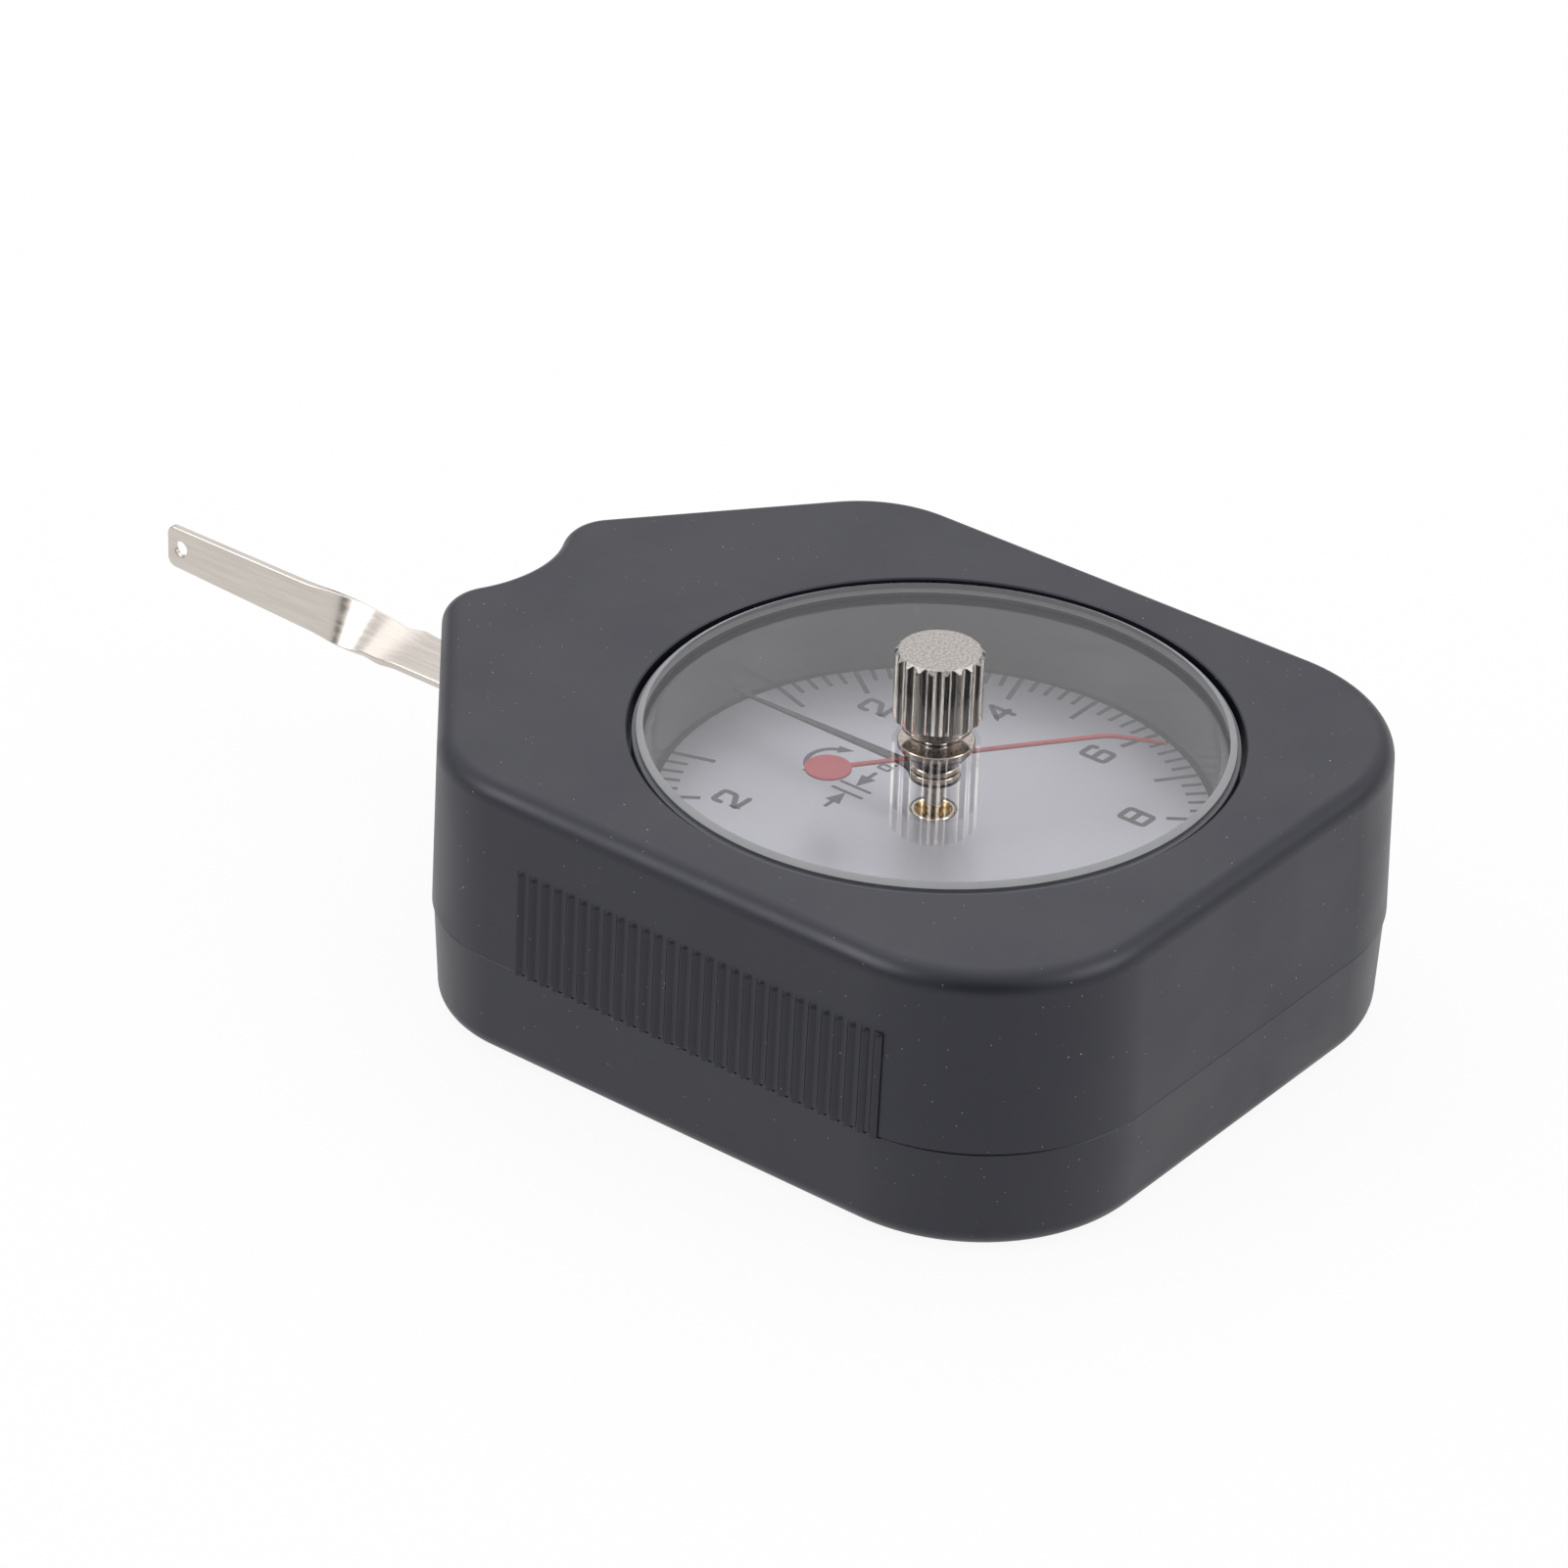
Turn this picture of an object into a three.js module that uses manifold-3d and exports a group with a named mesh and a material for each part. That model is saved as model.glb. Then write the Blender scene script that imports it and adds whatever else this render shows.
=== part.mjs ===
// Dial tension gauge: a palm-sized feeler-lever force gauge. A moulded case holds a geared
// movement. The flat steel feeler comes out of a slot between two lobes at the front, swings
// to either side against a spiral spring, and turns the needle through a toothed sector and
// a pinion. A knurled knob above the crystal turns a red drag hand that keeps the peak value.
//
// Millimetres, +Z up, base on z = 0, dial axis on the Z axis, feeler along +Y at rest.

import * as THREE from 'three';
import { mergeVertices } from 'three/addons/utils/BufferGeometryUtils.js';
import Module from 'manifold-3d';

const wasm = await Module();
wasm.setup();

// Shared clearances
const fitGap = 0.1; // radial, between a turned piece and the hole it sits or runs in
const seatGap = 0.05; // between two faces that are stacked or screwed together
const overrun = 1; // how far a cutting tool runs past the face it opens

// Case outline, at the parting line
const caseHalfWidth = 31;
const caseRear = 32.2; // from the dial axis to the flat rear end
const caseFront = 45.4; // from the dial axis to the tips of the front lobes
const caseHeight = 25.5;
const rearCornerRadius = 16.1;
const shoulderFront = 27.6; // where a long side and a front taper would meet in a point
const shoulderRadius = 12.2;
const taperHalfWidth = 9.5; // where a front taper would meet the line across the lobes
const lobeRadius = 4.8;
const notchDepth = 2; // of the shallow hollow between the lobes

// Case section
const wall = 2.2;
const topWall = 2.4;
const floorThickness = 2.2;
const upperDraft = 0.43; // what the walls lean in from the parting line to the top
const lowerDraft = 0.4;
const topFillet = 1.9;
const bottomFillet = 1.7;
const partingStep = 0.15; // the cover stands back this much from the case above it
const lipHeight = 1;
const lipThickness = 1;
const lipGap = 0.3;

// Grip ribs on the long sides
const ribCount = 29;
const ribPitch = 1.293;
const ribWidth = 0.8;
const ribCrest = 0.55; // of the crests beyond the wall at the parting line
const ribDrop = 6.2; // of the ribs' tops below the case's top face
const ribRoot = 1.1; // how deep a rib is let into the wall
const ribCentre = -0.2; // middle of the row along Y

// Crystal and its seat
const openingRadius = 25.25;
const crystalGap = 0.4;
const crystalThickness = 2.5;
const crystalRise = 0.3; // of the crystal above the case's top face
const crystalStep = 0.36; // width of the lower step around its rim
const crystalStepDrop = 0.7; // of that step below its top
const crystalBevel = 0.57; // width of the bevel inside the step
const crystalBevelDrop = 0.3;
const sealThickness = 0.4;
const sealWidth = 0.9;
const chamberRadius = 23.25;
const chamberWall = 1.2; // around the crystal's seat
const chamberLap = 0.9; // how far the chamber reaches below the dial's face

// Dial
const dialDepth = 8.89; // of the dial's face below the case's top face
const dialThickness = 0.4;
const dialEdgeGap = 0.3;
const dialHoleRadius = 1.98;
const dialStandoff = 0.81; // from the dial's back to the upper plate
const dialFootRadius = 1.4;
const dialFootPinRadius = 0.7;
const dialFootCircle = 13;
const dialFootAngles = [20, 140, 260];

// Movement plates and pillars
const plateRadius = 22.3;
const plateHalfWidth = 18.4; // to the two flats
const plateThickness = 1.2;
const plateWindowRadius = 5.2;
const plateWindowX = 9.5;
const plateWindowY = -6;
const postHeight = 1.8; // of the cover's posts above its floor
const pillarRadius = 1.6;
const pillarWaist = 1.25;
const pillarCollar = 1.2; // height of the full-radius ends
const pillarFlare = 0.36; // height over which an end narrows to the waist
const pillarCircle = 17;
const pillarAngles = [60, 180, 300];
const pillarHoleDepth = 3;

// Lever pivot and the geared pair
const pivotY = 19.2; // from the dial axis to the lever's arbor
const gearModule = 0.2;
const pinionTeeth = 12;
const sectorFullTeeth = 180; // of the whole wheel that the sector is cut from
const sectorTeeth = 15;
const pressureAngle = 25;
const addendumShare = 1; // of the module
const dedendumShare = 1.25; // of the module
const toothBacklash = 0.05;
const sectorMargin = 0.5; // degrees, beyond the space of the last tooth
const sectorHubRadius = 3.3;
const sectorRim = 2.2;
const sectorWindowInner = 5.4;
const sectorSpoke = 1.1;
const leverSwing = 12; // degrees, each way, for a half turn of the needle

// Feeler lever
const slotDrop = 2.1; // of the parting line below the strip's middle
const leverThickness = 0.65;
const leverReach = 65.75; // from pivot to tip
const leverHalfWidth = 2.93; // of the flat root
const leverEyeRadius = 4.3;
const twistStart = 36.5; // from the pivot
const twistLength = 13.4;
const neckStart = 37.9; // where the strip steps in to the neck that is twisted
const neckFarRun = 1.8; // length of that step on the edge that turns up
const neckNearRun = 4; // and on the edge that turns down
const neckHalfWidth = 2.1;
const bladeRise = 2.46; // of the blade's upper edge above the strip's middle
const bladeRootDrop = 2.14; // of its lower edge below it, where the twist ends
const bladeTipDrop = 1.54;
const bladeCornerRadius = 0.7;
const bladeHoleRadius = 0.75;
const bladeHoleInset = 1.4; // from the tip
const slotGap = 0.55; // each side of the swung lever
const slotRise = 1.6; // above the lever
const slotCut = 8.8; // length of the opening tool, across the front wall

// Arbors, hub and bushes
const arborRadius = 1;
const pivotRadius = 0.45;
const pivotEndGap = 0.2;
const bushRadius = 1.6;
const bushFlangeRadius = 2.2;
const bushFlange = 0.3;
const hubBodyRadius = 2.6;
const hubSleeveRadius = 1.8;
const hubFlangeRadius = 4;
const hubEndGap = 0.2;
const hubScrewOffset = 2.6;
const stopCircle = 13;
const stopPinRadius = 0.7;
const stopPinRise = 0.5; // above the sector
const stopGap = 0.1;

// Springs
const measuringSpringTurns = 3.5;
const measuringSpringOuter = 8;
const measuringSpringThickness = 0.3;
const hairspringTurns = 4;
const hairspringOuter = 6.4;
const hairspringThickness = 0.15;
const springEndGap = 0.2;
const studRadius = 0.8;
const colletRadius = 1.9;

// Needle
const needleDepth = 5.54; // of the needle's top below the case's top face
const needleThickness = 0.2;
const needleLength = 21.1;
const needleRootWidth = 0.95;
const needleTipWidth = 0.3;
const needleEyeRadius = 2.3;
const needleFlare = 4.6; // from the axis to where the blade begins to widen into its eye
const needleHubRadius = 2.05;
const needleHubHeight = 1.1;
const needleHubRim = 0.33; // height of the full-radius foot
const needleHubBevel = 0.1; // height of the bevel above it
const needleHubWaist = 1.85;
const needleArborRadius = 0.8;
const dialBushRadius = 1.85;
const dialBushBowl = 1.35; // radius of the hollow in its face
const dialBushDish = 0.6; // depth of that hollow

// Drag hand, knob and friction drive
const handGap = 0.5; // between the drag hand and the needle's hub
const handThickness = 0.2;
const handAngle = -126.6; // degrees from +Y, seen from above
const handBend = 15.2; // radius where the arm turns down
const handBendRun = 0.8; // length of the arm on each side of that corner that is curved
const handReach = 19.8;
const handPassGap = 0.2; // between the low end of the arm and the needle that passes under it
const handArmWidth = 0.5;
const handTipWidth = 0.35;
const handEyeRadius = 2.3;
const counterweightRadius = 1.94;
const counterweightReach = 9.1;
const flangeRadius = 3.2;
const flangeThickness = 0.55;
const flangeGap = 0.1; // between the flange and the crystal above it
const washerFootRadius = 2.6; // of the cup's flat bottom, which lies on the hand
const washerRimRadius = 3.1;
const washerThickness = 0.2;
const stemRadius = 1.2;
const knobRadius = 3.7;
const knobTop = 7.5; // above the case's top face
const knobGripHeight = 6.2;
const knobFlutes = 20;
const knobFluteDepth = 0.3;
const knobCrestShare = 0.2; // of the pitch, from the middle of a ridge to its edge
const knobChamfer = 0.36;
const knobNeckRadius = 2.9;

// Screws
const caseScrew = { head: 2.1, headHeight: 1.4, shank: 0.9, length: 11, slot: 0.6, slotDepth: 0.6 };
const plateScrew = { head: 1.3, headHeight: 0.6, shank: 0.6, length: 3.4, slot: 0.35, slotDepth: 0.3 };
const footScrew = { head: 1.3, headHeight: 0.7, shank: 0.6, length: 2.8, slot: 0.35, slotDepth: 0.3 };
const leverScrew = { head: 0.9, headHeight: 0.5, shank: 0.45, length: 1.5, slot: 0.25, slotDepth: 0.2 };
const screwCrownShare = 0.3; // of a head's height, bevelled
const bossRadius = 2.6;
const coverBossRadius = 3.2;
const bossInset = 10.6; // from the long sides
const bossRearInset = 10.2;
const bossFrontInset = 18.4;
const postRadius = 2.2;
const movementPosts = [[-14, -13.5], [14, -13.5], [12.5, 15]];
const driverHoleRadius = 2;

// Facets
const fineSides = 64;
const midSides = 28;
const smallSides = 14;
const spiralSteps = 16; // per turn
const filletSteps = 4;
const outlineSteps = { rear: 8, shoulder: 5, lobe: 6, notch: 6 };
const twistSteps = 24;
const bladeCornerSteps = 4;
const handBendSteps = 4;
const flareSteps = 5;
const weldDistance = 1e-5;

// Heights within the movement, as shares of the gap between the plates
const leverShare = 0.7; // from the lower plate to the strip's middle
const hubFlangeShare = 0.11;
const hubShoulderShare = 0.22; // from the lever's underside to the top of the sector
const sectorShare = 0.09;
const pinionShare = 0.22;
const measuringSpringShare = 0.145;
const measuringSpringDropShare = 0.09; // below the sector
const hairspringShare = 0.09;
const hairspringDropShare = 0.09; // below the upper plate
const colletShare = 0.13;

// Levels, from the stack of thicknesses
const crystalTop = caseHeight + crystalRise;
const crystalBottom = crystalTop - crystalThickness;
const ledgeTop = crystalBottom - sealThickness;
const dialTop = caseHeight - dialDepth;
const dialBottom = dialTop - dialThickness;
const upperPlateTop = dialBottom - dialStandoff;
const upperPlateBottom = upperPlateTop - plateThickness;
const lowerPlateBottom = floorThickness + postHeight;
const lowerPlateTop = lowerPlateBottom + plateThickness;
const plateGap = upperPlateBottom - lowerPlateTop;
const leverHeight = lowerPlateTop + plateGap * leverShare;
const partingHeight = leverHeight - slotDrop;
const leverBottom = leverHeight - leverThickness / 2;
const leverTop = leverHeight + leverThickness / 2;
const sectorTop = leverBottom - plateGap * hubShoulderShare;
const sectorThickness = plateGap * sectorShare;
const sectorBottom = sectorTop - sectorThickness;
const measuringSpringHeight = plateGap * measuringSpringShare;
const measuringSpringBottom = sectorBottom - plateGap * measuringSpringDropShare - measuringSpringHeight;
const hairspringHeight = plateGap * hairspringShare;
const hairspringBottom = upperPlateBottom - plateGap * hairspringDropShare - hairspringHeight;
const needleTop = caseHeight - needleDepth;
const needleBottom = needleTop - needleThickness;
const needleHubTop = needleTop + needleHubHeight;
const handBottom = needleHubTop + handGap;
const handTop = handBottom + handThickness;
const flangeTop = crystalBottom - flangeGap;
const flangeBottom = flangeTop - flangeThickness;

const caseScrewSeat = floorThickness - seatGap;
const caseScrewTip = caseScrewSeat + caseScrew.length;

const caseBosses = [-1, 1].flatMap((side) => {
  const x = side * (caseHalfWidth - bossInset);
  return [[x, bossRearInset - caseRear], [x, caseFront - bossFrontInset]];
});

// Gear sizes
const pinionPitchRadius = (gearModule * pinionTeeth) / 2;
const sectorPitchRadius = (gearModule * sectorFullTeeth) / 2;
const sectorHalfAngle = (180 * sectorTeeth) / sectorFullTeeth + sectorMargin;

// Finishes
const blackAbs = { color: 0x3a3b40, roughness: 0.6, metalness: 0 };
const acrylic = { color: 0xdfe6ea, roughness: 0.05, metalness: 0 };
const blackRubber = { color: 0x17181a, roughness: 0.8, metalness: 0 };
const silveredBrass = { color: 0xc4c7cb, roughness: 0.45, metalness: 0.4 };
const brass = { color: 0xb59a55, roughness: 0.35, metalness: 1 };
const nickel = { color: 0xcdc8c3, roughness: 0.2, metalness: 1 };
const stainless = { color: 0xc4bdb7, roughness: 0.3, metalness: 1 };
const steel = { color: 0x8f9296, roughness: 0.35, metalness: 1 };
const springSteel = { color: 0x565c6b, roughness: 0.3, metalness: 1 };
const redLacquer = { color: 0xc0464c, roughness: 0.4, metalness: 0 };
const blackLacquer = { color: 0x2a2a2e, roughness: 0.5, metalness: 0 };

const radians = THREE.MathUtils.degToRad;

// Solid helpers

function toSolid(geometry) {
  const bare = geometry.index ? geometry.clone() : geometry;
  bare.deleteAttribute('normal');
  bare.deleteAttribute('uv');
  const merged = mergeVertices(bare, weldDistance);
  const index = Array.from(merged.index.array);
  const place = merged.attributes.position;
  const a = new THREE.Vector3();
  const b = new THREE.Vector3();
  const c = new THREE.Vector3();
  let volume = 0;
  const kept = [];
  for (let i = 0; i < index.length; i += 3) {
    const [p, q, r] = index.slice(i, i + 3);
    if (p === q || q === r || r === p) continue;
    kept.push(p, q, r);
    a.fromBufferAttribute(place, p);
    b.fromBufferAttribute(place, q);
    c.fromBufferAttribute(place, r);
    volume += a.dot(b.cross(c));
  }
  if (volume < 0) kept.reverse();
  return new wasm.Manifold(new wasm.Mesh({
    numProp: 3,
    vertProperties: new Float32Array(place.array),
    triVerts: new Uint32Array(kept),
  }));
}

function toGeometry(solid) {
  const mesh = solid.getMesh();
  const geometry = new THREE.BufferGeometry();
  geometry.setAttribute('position', new THREE.BufferAttribute(mesh.vertProperties, 3));
  geometry.setIndex(new THREE.BufferAttribute(mesh.triVerts, 1));
  geometry.computeVertexNormals();
  return geometry;
}

function union(...solids) {
  return solids.reduce((whole, solid) => whole.add(solid));
}

function cut(solid, ...tools) {
  return tools.reduce((whole, tool) => whole.subtract(tool), solid);
}

// A cylinder standing on z = bottom
function rod(radius, bottom, top, sides = smallSides, x = 0, y = 0) {
  const geometry = new THREE.CylinderGeometry(radius, radius, top - bottom, sides);
  geometry.rotateX(Math.PI / 2);
  geometry.translate(x, y, (bottom + top) / 2);
  return toSolid(geometry);
}

// A turned piece: the profile is a list of [radius, z] and is closed by the axis or by itself
function turned(profile, sides = midSides) {
  const points = profile.map(([radius, z]) => new THREE.Vector2(radius, z));
  const geometry = new THREE.LatheGeometry(points, sides);
  geometry.rotateX(Math.PI / 2);
  return toSolid(geometry);
}

// A flat ring, or a bush where it is tall
function ring(inner, outer, bottom, top, sides = midSides) {
  return turned([[inner, bottom], [outer, bottom], [outer, top], [inner, top], [inner, bottom]], sides);
}

function box(width, depth, height, x, y, z) {
  const geometry = new THREE.BoxGeometry(width, depth, height);
  geometry.translate(x, y, z);
  return toSolid(geometry);
}

function plate(shape, bottom, thickness, curveSegments = midSides) {
  const settings = { depth: thickness, bevelEnabled: false, curveSegments };
  const geometry = new THREE.ExtrudeGeometry(shape, settings);
  geometry.translate(0, 0, bottom);
  return toSolid(geometry);
}

// A closed skin through rings of equal point count, capped at both ends
function loft(rings) {
  const count = rings[0].length;
  const positions = rings.flat().flatMap((point) => [point.x, point.y, point.z]);
  const index = [];
  for (let level = 0; level + 1 < rings.length; level += 1) {
    for (let i = 0; i < count; i += 1) {
      const next = (i + 1) % count;
      const low = level * count;
      const high = low + count;
      index.push(low + i, low + next, high + next, low + i, high + next, high + i);
    }
  }
  const last = (rings.length - 1) * count;
  for (const [a, b, c] of capTriangles(rings[0])) index.push(c, b, a);
  for (const [a, b, c] of capTriangles(rings.at(-1))) index.push(last + a, last + b, last + c);
  const geometry = new THREE.BufferGeometry();
  geometry.setAttribute('position', new THREE.Float32BufferAttribute(positions, 3));
  geometry.setIndex(index);
  return toSolid(geometry);
}

// Cap of a ring in its own plane: the ring is flattened on the two axes it spans most
function capTriangles(ringPoints) {
  const size = new THREE.Box3().setFromPoints(ringPoints).getSize(new THREE.Vector3());
  const flat = ringPoints.map((point) => (
    new THREE.Vector2(point.x, size.y < size.z ? point.z : point.y)
  ));
  const triangles = THREE.ShapeUtils.triangulateShape(flat, []);
  return THREE.ShapeUtils.isClockWise(flat) ? triangles.map(([a, b, c]) => [c, b, a]) : triangles;
}

function atAngle(degrees, radius) {
  const turn = radians(degrees);
  return [-Math.sin(turn) * radius, Math.cos(turn) * radius];
}

// Case outline: arcs joined by straight lines. Every inset of it has the same arc centres, so
// rings at different insets match point for point.

function outlineArcs() {
  const taper = new THREE.Vector2(caseFront - shoulderFront, caseHalfWidth - taperHalfWidth).normalize();
  const lean = Math.atan2(taper.y, taper.x);
  const reach = taper.x * caseHalfWidth + taper.y * shoulderFront;
  const shoulderY = shoulderFront - shoulderRadius * Math.tan(lean / 2);
  const lobeY = caseFront - lobeRadius;
  const lobeX = (reach - lobeRadius - taper.y * lobeY) / taper.x;
  const rise = caseFront - notchDepth - lobeY;
  const notchRadius = (lobeX ** 2 + rise ** 2 - lobeRadius ** 2) / (2 * (lobeRadius - rise));
  const notchY = caseFront - notchDepth + notchRadius;
  const meet = Math.atan2(notchY - lobeY, -lobeX);
  const half = [
    { x: caseHalfWidth - rearCornerRadius, y: rearCornerRadius - caseRear, radius: rearCornerRadius,
      from: -Math.PI / 2, to: 0, steps: outlineSteps.rear },
    { x: caseHalfWidth - shoulderRadius, y: shoulderY, radius: shoulderRadius,
      from: 0, to: lean, steps: outlineSteps.shoulder },
    { x: lobeX, y: lobeY, radius: lobeRadius, from: lean, to: meet, steps: outlineSteps.lobe },
  ];
  const mirrored = half.map((arc) => (
    { ...arc, x: -arc.x, from: Math.PI - arc.to, to: Math.PI - arc.from }
  )).reverse();
  const notch = { x: 0, y: notchY, radius: -notchRadius,
    from: meet, to: Math.PI - meet, steps: outlineSteps.notch };
  return [...half, notch, ...mirrored];
}

function caseOutline(inset, z) {
  const points = [];
  for (const arc of outlineArcs()) {
    const radius = arc.radius - inset;
    const first = arc.radius < 0 ? 1 : 0;
    const last = arc.radius < 0 ? arc.steps - 1 : arc.steps;
    for (let i = first; i <= last; i += 1) {
      const angle = arc.from + ((arc.to - arc.from) * i) / arc.steps;
      points.push(new THREE.Vector3(arc.x + radius * Math.cos(angle), arc.y + radius * Math.sin(angle), z));
    }
  }
  return points;
}

function upperInset(z) {
  return (upperDraft * (z - partingHeight)) / (caseHeight - partingHeight);
}

function lowerInset(z) {
  return partingStep + (lowerDraft * (partingHeight - z)) / partingHeight;
}

// Upper case

function caseBody() {
  const filletLevels = Array.from({ length: filletSteps + 1 }, (_, i) => (Math.PI / 2) * (i / filletSteps));
  const skin = [caseOutline(0, partingHeight)];
  for (const angle of filletLevels) {
    const z = caseHeight - topFillet * (1 - Math.sin(angle));
    skin.push(caseOutline(upperInset(z) + topFillet * (1 - Math.cos(angle)), z));
  }
  const ceiling = caseHeight - topWall;
  const cavity = loft([
    caseOutline(wall - upperInset(partingHeight + overrun), partingHeight - overrun),
    caseOutline(wall + upperInset(ceiling), ceiling),
  ]);
  const chamberBottom = dialTop - chamberLap;
  const outerRadius = openingRadius + chamberWall;
  const chamber = ring(chamberRadius, outerRadius, chamberBottom, ceiling + overrun / 2, fineSides);
  const bosses = caseBosses.map(([x, y]) => (
    rod(bossRadius, partingHeight, ceiling + overrun / 2, smallSides, x, y)
  ));
  const pilots = caseBosses.map(([x, y]) => (
    rod(caseScrew.shank + fitGap, partingHeight - overrun, caseScrewTip + overrun, smallSides, x, y)
  ));
  const opening = rod(openingRadius, ledgeTop, caseHeight + overrun, fineSides);
  const bore = rod(chamberRadius, chamberBottom - overrun, caseHeight, fineSides);
  const shell = union(cut(loft(skin), cavity), chamber, ...bosses, ...gripRibs());
  return cut(shell, opening, bore, leverSlot(), ...pilots);
}

// The slot in the front wall is as wide as the swung feeler, plus a gap
function leverSlot() {
  const reach = caseFront - notchDepth - pivotY;
  const swing = radians(leverSwing);
  const halfWidth = reach * Math.tan(swing) + leverHalfWidth / Math.cos(swing) + slotGap;
  const bottom = partingHeight - overrun;
  const top = leverTop + slotRise;
  return box(halfWidth * 2, slotCut, top - bottom, 0, caseFront - notchDepth, (top + bottom) / 2);
}

// Raised ribs of right-angled section, steep on the side that faces the rear. Their crests stay
// in one upright plane, so they stand taller where the wall leans in and at the rear corner.
function gripRibs() {
  const ribs = [];
  for (const side of [-1, 1]) {
    for (let i = 0; i < ribCount; i += 1) {
      ribs.push(gripRib(side, ribCentre + (i - (ribCount - 1) / 2) * ribPitch));
    }
  }
  return ribs;
}

function gripRib(side, y) {
  const rear = y - ribWidth / 2;
  const front = y + ribWidth / 2;
  const section = (z) => {
    const face = caseHalfWidth - upperInset(z);
    const corners = [
      [face - ribRoot, rear], [caseHalfWidth + ribCrest, rear], [face, front], [face - ribRoot, front],
    ];
    return corners.map(([x, along]) => new THREE.Vector3(side * x, along, z));
  };
  return loft([section(partingHeight), section(caseHeight - ribDrop)]);
}

// Bottom cover

function bottomCover() {
  const skin = [];
  for (let i = filletSteps; i >= 0; i -= 1) {
    const angle = (Math.PI / 2) * (i / filletSteps);
    const z = bottomFillet * (1 - Math.sin(angle));
    skin.push(caseOutline(lowerInset(z) + bottomFillet * (1 - Math.cos(angle)), z));
  }
  const rim = partingHeight - seatGap;
  skin.push(caseOutline(lowerInset(rim), rim));
  const lipInset = wall + lipGap;
  const lipTop = partingHeight + lipHeight;
  const lip = loft([caseOutline(lipInset, floorThickness), caseOutline(lipInset, lipTop)]);
  const hollow = loft([
    caseOutline(lipInset + lipThickness, floorThickness),
    caseOutline(lipInset + lipThickness, lipTop + overrun),
  ]);
  const bosses = caseBosses.map(([x, y]) => (
    rod(coverBossRadius, floorThickness / 2, partingHeight - seatGap, smallSides, x, y)
  ));
  const recesses = caseBosses.flatMap(([x, y]) => [
    rod(caseScrew.head + fitGap * 2, -overrun, floorThickness, smallSides, x, y),
    rod(caseScrew.shank + fitGap, -overrun, partingHeight + overrun, smallSides, x, y),
  ]);
  const posts = movementPosts.map(([x, y]) => (
    rod(postRadius, floorThickness / 2, lowerPlateBottom - seatGap, smallSides, x, y)
  ));
  const footPilotBottom = lowerPlateTop - footScrew.length - fitGap * 2;
  const pilots = movementPosts.map(([x, y]) => (
    rod(footScrew.shank + fitGap, footPilotBottom, lowerPlateTop, smallSides, x, y)
  ));
  const shell = union(cut(union(loft(skin), lip), hollow), ...bosses, ...posts);
  return cut(shell, ...recesses, ...pilots);
}

// Screws: the shank runs up from z = 0 and the slotted head lies below it
function screw({ head, headHeight, shank, length, slot, slotDepth }, sides = smallSides) {
  const crown = headHeight * screwCrownShare;
  const body = turned([
    [0, -headHeight], [head - crown, -headHeight], [head, crown - headHeight], [head, 0],
    [shank, 0], [shank, length], [0, length],
  ], sides);
  return cut(body, box((head + overrun) * 2, slot, slotDepth * 2, 0, 0, -headHeight));
}

// Crystal, seal and dial

function crystal() {
  const radius = openingRadius - crystalGap;
  const hole = stemRadius + fitGap;
  const shoulder = radius - crystalStep;
  return turned([
    [hole, crystalBottom], [radius, crystalBottom], [radius, crystalTop - crystalStepDrop],
    [shoulder, crystalTop - crystalStepDrop], [shoulder, crystalTop - crystalBevelDrop],
    [shoulder - crystalBevel, crystalTop], [hole, crystalTop], [hole, crystalBottom],
  ], fineSides);
}

function crystalSeal() {
  const outer = openingRadius - crystalGap;
  return ring(outer - sealWidth, outer, ledgeTop + seatGap, crystalBottom - seatGap, fineSides);
}

function dialPlate() {
  const face = ring(dialHoleRadius, chamberRadius - dialEdgeGap, dialBottom, dialTop, fineSides);
  const feet = dialFootAngles.flatMap((angle) => {
    const [x, y] = atAngle(angle, dialFootCircle);
    return [
      rod(dialFootRadius, upperPlateTop + seatGap, dialBottom + dialThickness / 2, smallSides, x, y),
      rod(dialFootPinRadius, upperPlateBottom, dialBottom, smallSides, x, y),
    ];
  });
  return union(face, ...feet);
}

// Movement

function plateOutline() {
  const lean = Math.acos(plateHalfWidth / plateRadius);
  const shape = new THREE.Shape();
  shape.absarc(0, 0, plateRadius, lean, Math.PI - lean);
  shape.absarc(0, 0, plateRadius, Math.PI + lean, -lean);
  return shape;
}

function pillarPlaces() {
  return pillarAngles.map((angle) => atAngle(angle, pillarCircle));
}

function upperPlate() {
  const bottom = upperPlateBottom - overrun;
  const top = upperPlateTop + overrun;
  return cut(
    plate(plateOutline(), upperPlateBottom, plateThickness, smallSides),
    rod(dialBushRadius + fitGap, bottom, top),
    rod(bushRadius + fitGap, bottom, top, smallSides, 0, pivotY),
    rod(plateWindowRadius, bottom, top, smallSides, -plateWindowX, plateWindowY),
    rod(plateWindowRadius, bottom, top, smallSides, plateWindowX, plateWindowY),
    ...pillarPlaces().map(([x, y]) => rod(plateScrew.shank + fitGap, bottom, top, smallSides, x, y)),
    ...movementPosts.map(([x, y]) => rod(driverHoleRadius, bottom, top, smallSides, x, y)),
    ...dialFootAngles.map((angle) => (
      rod(dialFootPinRadius + fitGap, bottom, top, smallSides, ...atAngle(angle, dialFootCircle))
    )),
  );
}

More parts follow.
